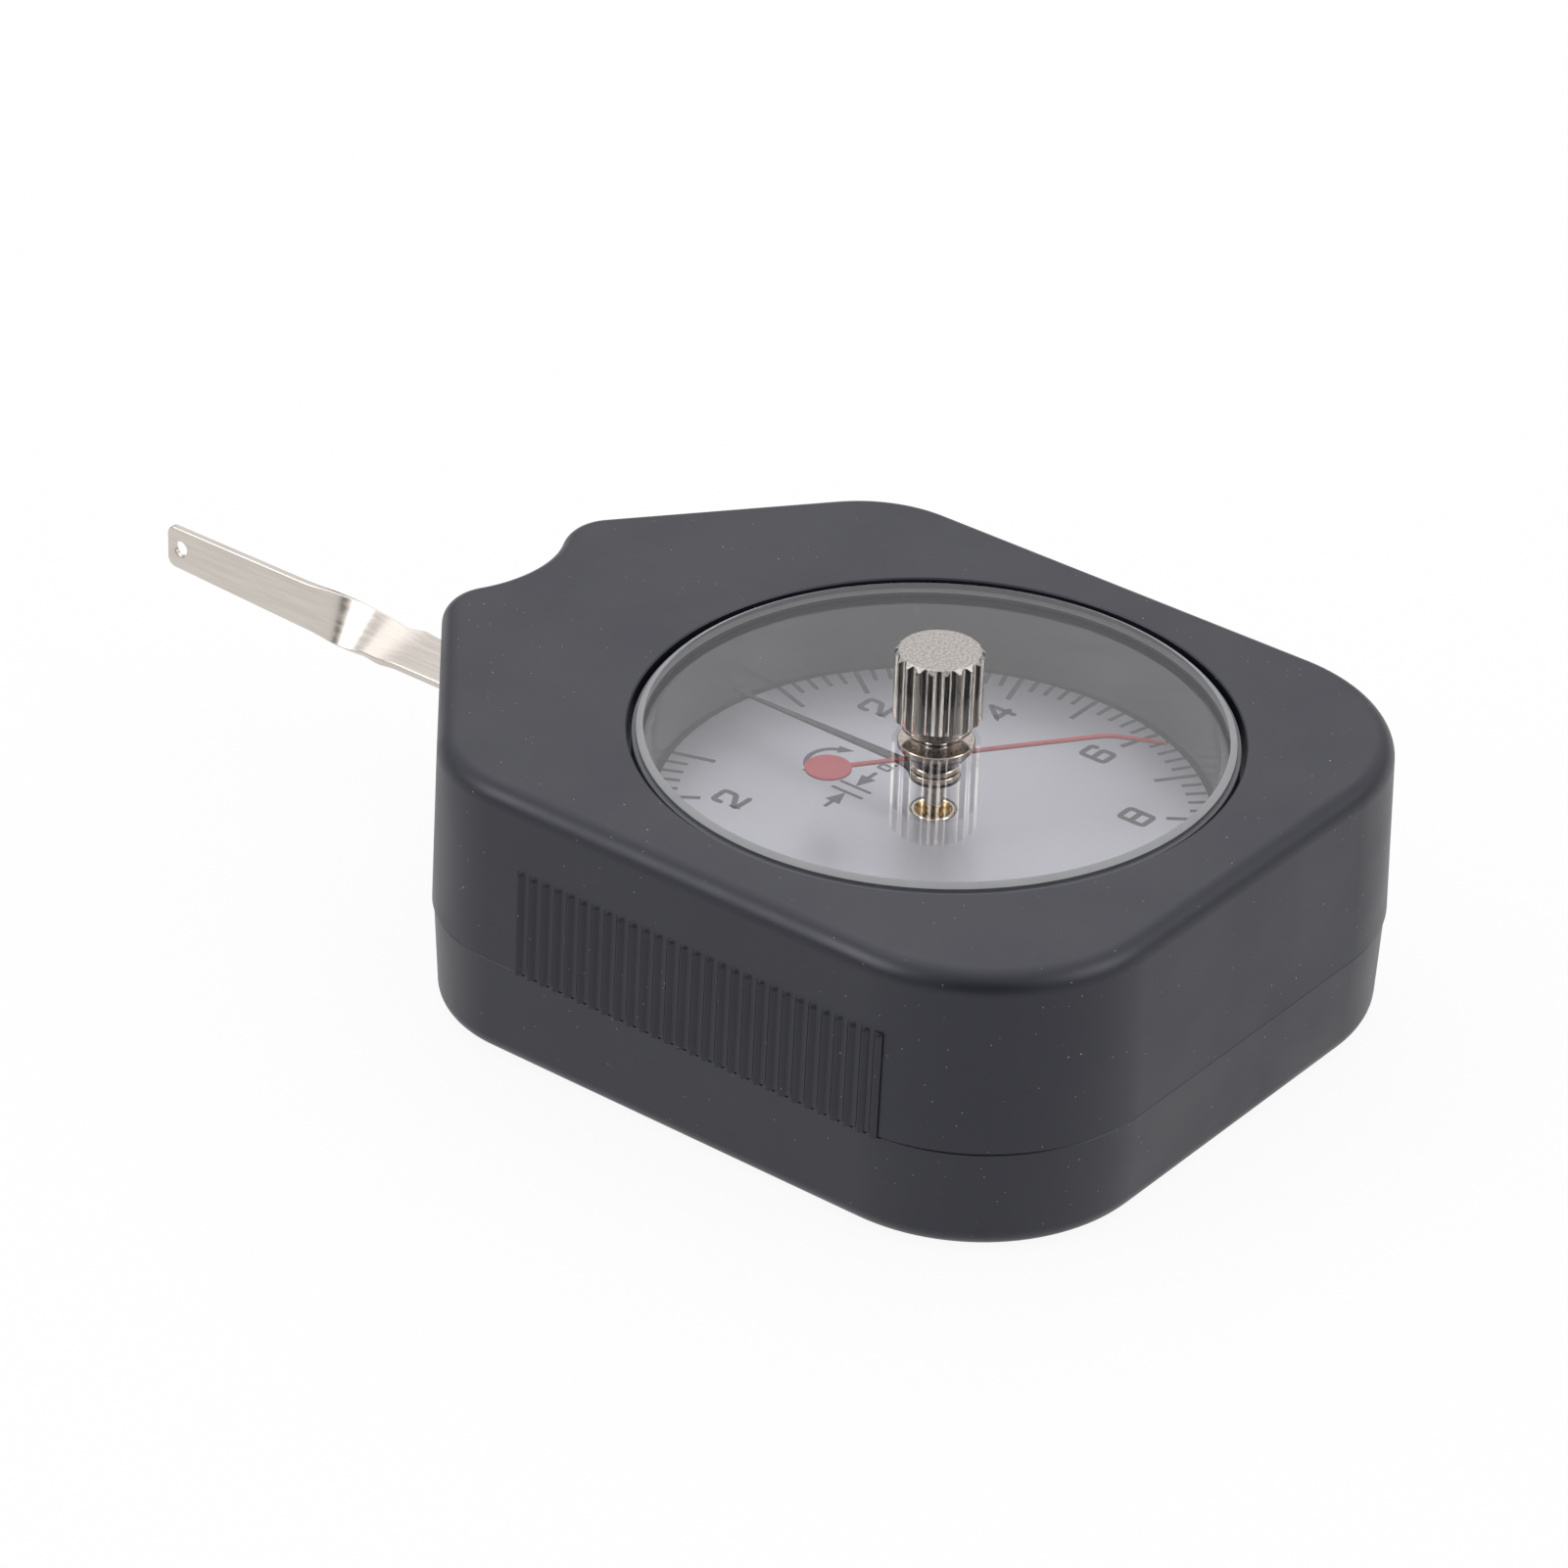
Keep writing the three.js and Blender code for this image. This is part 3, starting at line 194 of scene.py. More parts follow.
def piece(name, points, faces, body=None, slot=None, names=None, crease=30):
    """A closed mesh from points in millimetres. One without a body is dressed later, or used up."""
    mesh = bpy.data.meshes.new(name)
    mesh.from_pydata([Vector(p) * MM for p in points], [], faces)
    turn_out(mesh)
    made = bpy.data.objects.new(name, mesh)
    bpy.context.scene.collection.objects.link(made)
    if body:
        dress(made, body, names, crease)
    return made


def turn_out(mesh):
    """Turns every face outward."""
    work = bmesh.new()
    work.from_mesh(mesh)
    bmesh.ops.recalc_face_normals(work, faces=work.faces)
    work.to_mesh(mesh)
    work.free()


def dress(made, body, names, crease=30):
    """Gives a piece its finishes by name, its body and a smooth shading up to a crease."""
    made.data.materials.clear()
    for name in names:
        made.data.materials.append(finishes[name])
    made.data.polygons.foreach_set("use_smooth", [True] * len(made.data.polygons))
    made.data.set_sharp_from_angle(angle=math.radians(crease))
    normals = made.modifiers.new("even_normals", "WEIGHTED_NORMAL")
    normals.keep_sharp = True
    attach(made, body)


def combine(target, tools, operation):
    """Boolean of one mesh with several closed ones, which are used up."""
    for tool in tools:
        step = target.modifiers.new("combine", "BOOLEAN")
        step.operation = operation
        step.solver = "MANIFOLD"
        step.object = tool
    bpy.context.view_layer.update()
    graph = bpy.context.evaluated_depsgraph_get()
    mesh = bpy.data.meshes.new_from_object(target.evaluated_get(graph))
    target.modifiers.clear()
    target.data = mesh
    for tool in tools:
        bpy.data.objects.remove(tool)


def solid(points, faces):
    """A tool for combine."""
    return piece("tool", points, faces)


def joined(parts):
    """Points and faces of several skins as one."""
    points, faces = [], []
    for more, skin in parts:
        faces += [tuple(len(points) + c for c in face) for face in skin]
        points += more
    return points, faces


def loft(rings):
    """Points and faces of a skin through rings of equal count, capped at both ends."""
    count = len(rings[0])
    last = (len(rings) - 1) * count
    faces = [tuple(range(count)), tuple(last + i for i in range(count))]
    for low in range(0, last, count):
        for i in range(count):
            j = (i + 1) % count
            faces.append((low + i, low + j, low + count + j, low + count + i))
    return [p for ring in rings for p in ring], faces


def lathe(profile, sides=96, x=0, y=0):
    """Points and faces of a turned piece. The profile ends on the axis or closes on itself."""
    points = []
    rows = []
    for radius, z in profile:
        turns = 1 if radius < 1e-6 else sides
        rows.append([len(points) + i for i in range(turns)])
        for i in range(turns):
            angle = 2 * math.pi * i / sides
            points.append((x + radius * math.cos(angle), y + radius * math.sin(angle), z))
    if len(rows[0]) > 1:
        rows.append(rows[0])
    faces = []
    for low, high in zip(rows, rows[1:]):
        for i in range(sides):
            j = (i + 1) % sides
            corners = [row[k % len(row)] for row, k in ((low, i), (low, j), (high, j), (high, i))]
            kept = [c for n, c in enumerate(corners) if c not in corners[:n]]
            if len(kept) > 2:
                faces.append(tuple(kept))
    return points, faces


def rod(radius, bottom, top, x=0, y=0, sides=48):
    """An upright cylinder as a tool."""
    return solid(*lathe([(0, bottom), (radius, bottom), (radius, top), (0, top)], sides, x, y))


def block(low, high):
    """A box between two corners as a tool."""
    (x0, y0, z0), (x1, y1, z1) = low, high
    ring = [(x0, y0), (x1, y0), (x1, y1), (x0, y1)]
    return solid(*loft([[(x, y, z) for x, y in ring] for z in (z0, z1)]))


def arc(cx, cz, radius, start, end, steps):
    """Points of an arc in degrees, for profiles and outlines."""
    angles = [math.radians(start + (end - start) * i / steps) for i in range(steps + 1)]
    return [(cx + radius * math.cos(a), cz + radius * math.sin(a)) for a in angles]


def quarter_round(radius, steps):
    """Rise and inset along a rounded edge, from the wall to the flat."""
    angles = [math.pi / 2 * i / steps for i in range(steps + 1)]
    return [(radius * math.sin(a), radius * (1 - math.cos(a))) for a in angles]


def smoothstep(value, low, high):
    """0 below low, 1 above high, and an even ease between them."""
    share = min(max((value - low) / (high - low), 0), 1)
    return share * share * (3 - 2 * share)


# Case

def outline_arcs():
    """The outline's arcs, anticlockwise: centre, radius (negative in the notch), angles, steps."""
    run, side = CASE_FRONT - SHOULDER_FRONT, CASE_HALF_WIDTH - TAPER_HALF_WIDTH
    taper = Vector((run, side)).normalized()
    lean = math.atan2(taper.y, taper.x)
    reach = taper.x * CASE_HALF_WIDTH + taper.y * SHOULDER_FRONT
    shoulder_y = SHOULDER_FRONT - SHOULDER_RADIUS * math.tan(lean / 2)
    lobe_y = CASE_FRONT - LOBE_RADIUS
    lobe_x = (reach - LOBE_RADIUS - taper.y * lobe_y) / taper.x
    rise = CASE_FRONT - NOTCH_DEPTH - lobe_y
    notch = (lobe_x ** 2 + rise ** 2 - LOBE_RADIUS ** 2) / (2 * (LOBE_RADIUS - rise))
    notch_y = CASE_FRONT - NOTCH_DEPTH + notch
    meet = math.atan2(notch_y - lobe_y, -lobe_x)
    half = [
        (CASE_HALF_WIDTH - REAR_CORNER_RADIUS, REAR_CORNER_RADIUS - CASE_REAR, REAR_CORNER_RADIUS,
         -math.pi / 2, 0, 28),
        (CASE_HALF_WIDTH - SHOULDER_RADIUS, shoulder_y, SHOULDER_RADIUS, 0, lean, 16),
        (lobe_x, lobe_y, LOBE_RADIUS, lean, meet, 18),
    ]
    other = [(-x, y, r, math.pi - b, math.pi - a, n) for x, y, r, a, b, n in reversed(half)]
    return half + [(0, notch_y, -notch, meet, math.pi - meet, 18)] + other


def case_outline(inset, z):
    """Ring of the case's outline at a height, moved inward."""
    points = []
    for x, y, radius, start, end, steps in outline_arcs():
        skip = 1 if radius < 0 else 0
        for i in range(skip, steps + 1 - skip):
            angle = start + (end - start) * i / steps
            reach = radius - inset
            points.append((x + reach * math.cos(angle), y + reach * math.sin(angle), z))
    return points


def upper_inset(z):
    """How far the draft brings the upper half's wall in."""
    return UPPER_DRAFT * (z - PARTING) / (CASE_HEIGHT - PARTING)


def lower_inset(z):
    """How far the step and the draft bring the lower half's wall in."""
    return PARTING_STEP + LOWER_DRAFT * (PARTING - z) / PARTING


def grip_rib(side, y):
    """One V-shaped rib, with a flat on its crest and an upper end that slopes back to the wall."""
    half, top = RIB_WIDTH / 2, CASE_HEIGHT - RIB_DROP
    rings = []
    for z, rise in ((PARTING, RIB_CREST), (top - RIB_CREST, RIB_CREST), (top, RIB_END)):
        face = CASE_HALF_WIDTH - upper_inset(z)
        corners = [
            (face - RIB_ROOT, y - half), (face, y - half), (face + rise, y - RIB_FLAT / 2),
            (face + rise, y + RIB_FLAT / 2), (face, y + half), (face - RIB_ROOT, y + half)]
        rings.append([(side * x, along, z) for x, along in corners])
    return loft(rings)


def grip_ribs():
    """The two rows of ribs as tools."""
    middle = (RIB_COUNT - 1) / 2
    places = [RIB_CENTRE + (i - middle) * RIB_PITCH for i in range(RIB_COUNT)]
    return [solid(*joined([grip_rib(side, y) for y in places])) for side in (-1, 1)]


def case_shell():
    """Moulded upper half with its window, ribbed grips and the slot for the lever."""
    broken = PARTING + EDGE_BREAK
    rings = [case_outline(EDGE_BREAK, PARTING), case_outline(upper_inset(broken), broken)]
    for rise, inset in quarter_round(TOP_FILLET, 12):
        z = CASE_HEIGHT - TOP_FILLET + rise
        rings.append(case_outline(upper_inset(z) + inset, z))
    shell = piece("case_shell", *loft(rings))
    ceiling = CASE_HEIGHT - TOP_WALL
    low, high = (WALL, PARTING - PAST), (WALL + upper_inset(ceiling), ceiling)
    combine(shell, [solid(*loft([case_outline(*low), case_outline(*high)]))], "DIFFERENCE")
    outer, top = OPENING_RADIUS + CHAMBER_WALL, ceiling + WELD
    chamber = solid(*lathe([
        (CHAMBER_RADIUS, CHAMBER_BOTTOM), (outer, CHAMBER_BOTTOM), (outer, top),
        (CHAMBER_RADIUS, top)], 192))
    bosses = [rod(BOSS_RADIUS, PARTING, top, x, y) for x, y in BOSSES]
    combine(shell, [chamber] + bosses + grip_ribs(), "UNION")
    window = solid(*lathe([
        (0, CHAMBER_BOTTOM - PAST), (CHAMBER_RADIUS, CHAMBER_BOTTOM - PAST),
        (CHAMBER_RADIUS, LEDGE), (OPENING_RADIUS, LEDGE),
        (OPENING_RADIUS, CASE_HEIGHT - EDGE_BREAK), (OPENING_RADIUS + EDGE_BREAK, CASE_HEIGHT),
        (OPENING_RADIUS + EDGE_BREAK, CASE_HEIGHT + PAST), (0, CASE_HEIGHT + PAST)], 192))
    swing = math.radians(LEVER_SWING)
    front = CASE_FRONT - NOTCH_DEPTH
    half = (front - PIVOT_Y) * math.tan(swing) + LEVER_HALF_WIDTH / math.cos(swing) + SLOT_GAP
    slot = block((-half, front - SLOT_HALF_DEPTH, PARTING - PAST),
                 (half, front + SLOT_HALF_DEPTH,
                  LEVER_HEIGHT + LEVER_THICKNESS / 2 + SLOT_HEADROOM))
    pilots = [rod(PILOT_RADIUS, PARTING - PAST, PILOT_TOP, x, y, 24) for x, y in BOSSES]
    combine(shell, [window, slot] + pilots, "DIFFERENCE")
    dress(shell, "case", ["satin", "polished"])
    # The chamber and the window's edge come from polished steel in the mould
    for face in shell.data.polygons:
        radius = math.hypot(face.center.x, face.center.y) / MM
        if radius < OPENING_RADIUS + HAIR and face.center.z < (CASE_HEIGHT - EDGE_BREAK) * MM:
            face.material_index = 1
    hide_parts("case_body")


def case_cover():
    """Moulded lower half, with the recesses for its four screws."""
    rings = []
    for rise, inset in reversed(quarter_round(BOTTOM_FILLET, 10)):
        z = BOTTOM_FILLET - rise
        rings.append(case_outline(lower_inset(z) + inset, z))
    rim = PARTING - PARTING_GAP
    rings.append(case_outline(lower_inset(rim - EDGE_BREAK), rim - EDGE_BREAK))
    rings.append(case_outline(lower_inset(rim) + EDGE_BREAK, rim))
    cover = piece("case_cover", *loft(rings))
    # The lip that the upper half goes over, and the room inside it
    lip, top = WALL + LIP_GAP, PARTING + LIP_RISE
    for inset, high, operation in ((lip, top, "UNION"),
                                   (lip + LIP_THICKNESS, top + PAST, "DIFFERENCE")):
        combine(cover, [solid(*loft([case_outline(inset, z) for z in (FLOOR, high)]))], operation)
    stands = [rod(COVER_BOSS_RADIUS, FLOOR / 2, rim, x, y) for x, y in BOSSES]
    stands += [rod(POST_RADIUS, FLOOR / 2, POST_TOP, x, y) for x, y in POSTS]
    combine(cover, stands, "UNION")
    mouth = RECESS_RADIUS + RECESS_BREAK
    recess = [(0, -PAST), (mouth, -PAST), (mouth, 0), (RECESS_RADIUS, RECESS_BREAK),
              (RECESS_RADIUS, FLOOR), (PILOT_RADIUS, FLOOR), (PILOT_RADIUS, PARTING + PAST),
              (0, PARTING + PAST)]
    holes = [solid(*lathe(recess, 48, x, y)) for x, y in BOSSES]
    holes += [rod(POST_HOLE_RADIUS, FLOOR, POST_TOP + PAST, x, y, 24) for x, y in POSTS]
    combine(cover, holes, "DIFFERENCE")
    dress(cover, "case", ["satin"])
    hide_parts("bottom_cover")


def case_screws():
    """Slotted cheese-head screws in the cover's recesses."""
    seat, head, radius, ease = 2.15, 1.4, 2.1, 0.35
    shank, tip, point = 0.9, 13.15, 0.2
    slot_half, slot_depth = 0.3, 0.6
    face = seat - head
    profile = [(0, face)] + arc(radius - ease, face + ease, ease, -90, 0, 5) + [
        (radius, seat), (shank, seat), (shank, tip - point), (shank - point, tip), (0, tip)]
    for i, (x, y) in enumerate(BOSSES):
        screw = piece(f"case_screw_head_{i + 1}", *lathe(profile, 48, x, y))
        slot = block((x - radius - PAST, y - slot_half, face - PAST),
                     (x + radius + PAST, y + slot_half, face + slot_depth))
        combine(screw, [slot], "DIFFERENCE")
        dress(screw, "case", ["steel"])
        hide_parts(f"case_screw_{i + 1}")



# Crystal and dial

def crystal():
    """Turned acrylic window: polished faces, a machined bevel and land on the seal, a sawn rim
    whose darker grey is painted shade of the gap round it.
    """
    top, bottom, radius, land = CRYSTAL_TOP, CRYSTAL_BOTTOM, CRYSTAL_RADIUS, CRYSTAL_LAND
    bore, shoulder = 1.3, radius - CRYSTAL_STEP
    step, bevel = top - CRYSTAL_STEP_DROP, top - CRYSTAL_BEVEL_DROP
    bore_break, low_break, rim_break, corner = 0.05, 0.08, 0.06, 0.03
    profile = [
        (bore, bottom + bore_break), (bore + bore_break, bottom), (land, bottom),
        (radius - low_break, bottom), (radius, bottom + low_break), (radius, step - rim_break),
        (radius - rim_break, step), (shoulder + corner, step), (shoulder, step + corner),
        (shoulder, bevel - corner), (shoulder - corner, bevel), (shoulder - CRYSTAL_BEVEL, top),
        (bore + bore_break, top), (bore, top - bore_break)]
    window = piece("crystal_window", *lathe(profile, 256), "case", "clear_acrylic",
                   ["acrylic", "machined", "sawn"], 20)
    for face in window.data.polygons:
        reach, height = Vector(face.center).xy.length / MM, face.center.z / MM
        on_land = reach > land and height < bottom + HAIR
        on_bevel = reach > shoulder - CRYSTAL_BEVEL and height > bevel - HAIR
        if on_land or on_bevel:
            face.material_index = 1
        # The rim: frosted, in a darker grey that is painted shade of the narrow gap round the
        # crystal
        elif reach > shoulder - HAIR:
            face.material_index = 2
    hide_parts("crystal")


def crystal_seal():
    """Rubber ring with round edges, between the case's ledge and the crystal."""
    low, high = LEDGE + SEAT_GAP, CRYSTAL_BOTTOM - SEAT_GAP
    inner, outer = CRYSTAL_RADIUS - SEAL_WIDTH, CRYSTAL_RADIUS
    half = (high - low) / 2
    profile = arc(outer - half, low + half, half, -90, 90, 8)
    profile += arc(inner + half, low + half, half, 90, 270, 8)
    ring = piece("seal_ring", *lathe(profile, 192), "case", "black_rubber", ["rubber"])
    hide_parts("crystal_seal")


def dial_face():
    """Silvered plate on its three feet."""
    edge = 0.05
    face = piece("dial_face", *lathe([
        (DIAL_BORE, DIAL_BOTTOM), (DIAL_RADIUS, DIAL_BOTTOM), (DIAL_RADIUS, DIAL_TOP - edge),
        (DIAL_RADIUS - edge, DIAL_TOP), (DIAL_BORE + edge, DIAL_TOP),
        (DIAL_BORE, DIAL_TOP - edge)], 192))
    circle, radius, pin = 13, 1.4, 0.7
    pin_bottom, foot_bottom, foot_top = 14.2, 15.45, DIAL_BOTTOM + 0.2
    foot = [(0, pin_bottom), (pin, pin_bottom), (pin, foot_bottom), (radius, foot_bottom),
            (radius, foot_top), (0, foot_top)]
    feet = []
    for turn in map(math.radians, (20, 140, 260)):
        x, y = -math.sin(turn) * circle, math.cos(turn) * circle
        feet.append(solid(*lathe(foot, 24, x, y)))
    combine(face, feet, "UNION")
    dress(face, "case", ["silver", "brass"])
    for side in face.data.polygons:
        side.material_index = 0 if side.center.z > (DIAL_BOTTOM + HAIR / 2) * MM else 1
    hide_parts("dial_plate")


def band(points, widths, closed=False):
    """Points and faces of a flat inked line of varying width along a path on the dial."""
    count = len(points)
    path = [Vector(p) for p in points]
    corners, faces = [], []
    for i, here in enumerate(path):
        before = path[i - 1] if closed or i else here
        after = path[(i + 1) % count] if closed or i + 1 < count else here
        ahead = (after - here).normalized() if after != here else (here - before).normalized()
        back = (here - before).normalized() if before != here else ahead
        along = (ahead + back).normalized()
        across = Vector((-along.y, along.x)) * widths[i] / 2 / max(along.dot(ahead), 0.5)
        left, right = here - across, here + across
        for z in (DIAL_TOP - 0.01, DIAL_TOP + INK):
            corners += [(left.x, left.y, z), (right.x, right.y, z)]
    steps = count if closed else count - 1
    for i in range(steps):
        a, b = 4 * i, 4 * ((i + 1) % count)
        faces += [(a, a + 1, b + 1, b), (a + 2, b + 2, b + 3, a + 3),
                  (a, b, b + 2, a + 2), (a + 1, a + 3, b + 3, b + 1)]
    if not closed:
        end = 4 * (count - 1)
        faces += [(0, 2, 3, 1), (end, end + 1, end + 3, end + 2)]
    return corners, faces


def rounded(points, radius, closed=False, steps=5):
    """A path with its corners turned into short curves."""
    path = [Vector(p) for p in points]
    count = len(path)
    out = []
    for i, here in enumerate(path):
        if not closed and i in (0, count - 1):
            out.append(here)
            continue
        before, after = path[i - 1], path[(i + 1) % count]
        start = here + (before - here).normalized() * radius
        end = here + (after - here).normalized() * radius
        for step in range(steps + 1):
            t = step / steps
            out.append(start.lerp(here, t).lerp(here.lerp(end, t), t))
    return out


def pen(points, width, radius=0.3, closed=False):
    """A stroke of even width with round ends."""
    path = rounded(points, radius, closed)
    if closed:
        return band(path, [width] * len(path), True)
    caps = []
    for tip, inner in ((path[0], path[1]), (path[-1], path[-2])):
        outward = (tip - inner).normalized()
        caps.append([(tip + outward * width / 2 * math.sin(a), width * math.cos(a))
                     for a in map(math.radians, (25, 45, 65, 82))])
    stroke = caps[0][::-1] + [(p, width) for p in path] + caps[1]
    return band([p for p, _ in stroke], [w for _, w in stroke])


# Strokes of the dial's figures about their middle, each with whether it closes on itself
FIGURES = {
    "0": [([(-0.63, -0.93), (0.63, -0.93), (0.63, 0.93), (-0.63, 0.93)], True)],
    "2": [([(-0.65, 0.3), (-0.65, 0.92), (0.68, 0.92), (0.68, 0), (-0.6, -0.74), (-0.6, -0.97),
            (0.8, -0.97)], False)],
    "4": [([(0.75, -0.33), (-0.62, -0.33), (-0.5, -0.2), (0.48, 1), (0.48, -0.9)], False)],
    "6": [([(0.63, 0.55), (0.63, 0.92), (-0.63, 0.92), (-0.63, -0.93), (0.63, -0.93), (0.63, 0),
            (-0.45, 0)], False)],
    "8": [([(-0.64, -0.93), (0.64, -0.93), (0.64, 0.95), (-0.64, 0.95)], True),
          ([(-0.44, 0.05), (0.44, 0.05)], False)],
    ".": [([(0, -0.89), (0.02, -0.89)], False)],
}


def figure(symbol, x, y, size, width):
    """The strokes of one figure."""
    return [pen([(x + px * size, y + py * size) for px, py in path], width, 0.24 * size, closed)
            for path, closed in FIGURES[symbol]]


def arrow(tail, tip):
    """A line with a solid head."""
    tail, tip = Vector(tail), Vector(tip)
    length, width = ARROW_HEAD
    neck = tip + (tail - tip).normalized() * length
    return [band([tail, neck], [ARROW_WIDTH, ARROW_WIDTH]), band([neck, tip], [width, POINT])]


def dial_print():
    """Scale both ways from zero, its figures, the value of a division and the two-way mark."""
    parts = []
    for side in (-1, 1):
        for step in range(FIRST_DIVISION, DIVISIONS + 1):
            if step == DIVISIONS and side < 0:
                continue
            angle = math.radians(side * step * DIVISION)
            inner, width = MINOR_LINE if step % 5 else MAJOR_LINE
            ray = Vector((math.sin(angle), math.cos(angle)))
            parts.append(band([ray * inner, ray * SCALE_RADIUS], [width, width]))
        for value in (2, 4, 6, 8):
            angle = math.radians(side * value * 5 * DIVISION)
            x, y = math.sin(angle) * FIGURE_CIRCLE, math.cos(angle) * FIGURE_CIRCLE
            parts += figure(str(value), x, y, FIGURE_UNIT, FIGURE_WIDTH)
    # A division's value: two bars with an arrow to each, and the number
    level, bar_width, unit, thin = 6.95, 0.31, 0.56, 0.26
    for x in (-2.65, -1.52):
        parts.append(pen([(x, 5.4), (x, 8.35)], bar_width))
    parts += arrow((-5.6, level), (-2.8, level)) + arrow((1.4, level), (-1.38, level))
    for symbol, x in (("0", 2.55), (".", 3.35), ("2", 4.1)):
        parts += figure(symbol, x, level - 0.05, unit, thin)
    # The gauge reads both ways: a bow with a head at each end
    x, y, radius, half, width = 0.3, 10.6, 2.3, 62, 0.44
    head_length, head_width = 1.35, 1.15
    bow = arc(x, y, radius, 90 + half, 90 - half, 16)
    parts.append(band(bow, [width] * len(bow)))
    for side, end in ((-1, bow[0]), (1, bow[-1])):
        lean = math.radians(side * half)
        ahead = Vector((math.cos(lean), -math.sin(lean))) * side
        parts.append(band([end, Vector(end) + ahead * head_length], [head_width, POINT]))
    parts.append(pen([(x, 9.2), (x, 11.9)], width))
    piece("dial_print", *joined(parts), "case", "silvered_brass", ["ink"])


def dial_bush():
    """Turned bush in the dial's centre: a plated rim round a brass bowl."""
    bowl = [(1.6, DIAL_TOP), (1.54, DIAL_TOP - 0.06), (1.42, DIAL_TOP - 0.3),
            (1.2, DIAL_TOP - 0.5), (0.9, DIAL_TOP - 0.6)]
    flange_top = BUSH_BOTTOM + 0.25
    profile = [(0.9, BUSH_BOTTOM), (2.2, BUSH_BOTTOM), (2.2, flange_top), (1.85, flange_top),
               (1.85, DIAL_TOP - 0.08), (1.77, DIAL_TOP)] + bowl
    bush = piece("centre_bush", *lathe(profile, 64), "case", "brass", ["brass", "nickel"])
    for face in bush.data.polygons:
        face.material_index = 1 if face.center.z > (DIAL_TOP - 0.05) * MM else 0
    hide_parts("dial_bush")


# Lever

def lever_section(y):
    """Reach to either side of the strip's middle line, and its twist, at y from the pivot."""
    twist_end = TWIST_START + TWIST_LENGTH
    widening = smoothstep(y, NECK_START + NECK_FAR_RUN, twist_end)
    taper = max(y - twist_end, 0) / (LEVER_REACH - twist_end)
    drop = BLADE_ROOT_DROP + (BLADE_TIP_DROP - BLADE_ROOT_DROP) * taper
    sides = []
    for run, blade in ((NECK_NEAR_RUN, drop), (NECK_FAR_RUN, BLADE_RISE)):
        narrowing = smoothstep(y, NECK_START, NECK_START + run)
        neck = (NECK_HALF_WIDTH - LEVER_HALF_WIDTH) * narrowing
        sides.append(LEVER_HALF_WIDTH + neck + (blade - NECK_HALF_WIDTH) * widening)
    return sides[0], sides[1], math.pi / 2 * smoothstep(y, TWIST_START, twist_end)


def strip_ring(y, near, far, twist):
    """Section of the rolled strip: a rectangle with its four corners eased."""
    ease = 0.12
    half = LEVER_THICKNESS / 2 - ease
    ring = []
    for cx, cz, start in ((far - ease, half, 0), (ease - near, half, 90),
                          (ease - near, -half, 180), (far - ease, -half, 270)):
        ring += arc(cx, cz, ease, start, start + 90, 4)
    c, s = math.cos(twist), math.sin(twist)
    return [(u * c - w * s, PIVOT_Y + y, LEVER_HEIGHT + u * s + w * c) for u, w in ring]


def feeler_strip():
    """Stamped stainless strip, flat at the root and twisted to an upright blade."""
    corner = LEVER_REACH - BLADE_CORNER_RADIUS
    stations = [0, 20, 30]
    stations += [TWIST_START - 0.5 + (TWIST_LENGTH + 1) * i / 72 for i in range(73)]
    stations += [55, 60, corner - 0.01]
    rings = [strip_ring(y, *lever_section(y)) for y in stations]
    for rise, inset in quarter_round(BLADE_CORNER_RADIUS, 7)[1:]:
        near, far, twist = lever_section(corner + rise)
        rings.append(strip_ring(corner + rise, near - inset, far - inset, twist))
    strip = piece("feeler_strip", *loft(rings))
    face = LEVER_THICKNESS / 2
    low, high = LEVER_HEIGHT - face, LEVER_HEIGHT + face
    combine(strip, [rod(LEVER_EYE_RADIUS, low, high, 0, PIVOT_Y, 64)], "UNION")
    holes = [rod(LEVER_BORE, low - PAST, high + PAST, 0, PIVOT_Y)]
    holes += [rod(LEVER_SCREW_BORE, low - PAST, high + PAST, side * LEVER_SCREW_X, PIVOT_Y, 24)
              for side in (-1, 1)]
    # The tip's hole goes through the upright blade and widens to both faces
    tip_y = PIVOT_Y + LEVER_REACH - TIP_HOLE_INSET
    tip_z = LEVER_HEIGHT + (BLADE_RISE - BLADE_TIP_DROP) / 2
    bore, mouth, land = 0.75, 0.93, 0.2
    points, faces = lathe([(0, -PAST), (mouth, -PAST), (mouth, -face), (bore, -land),
                           (bore, land), (mouth, face), (mouth, PAST), (0, PAST)], 40)
    holes.append(solid([(z, x + tip_y, y + tip_z) for x, y, z in points], faces))
    combine(strip, holes, "DIFFERENCE")
    dress(strip, "lever", ["stainless"], 40)
    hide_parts("feeler_lever")


# Needle

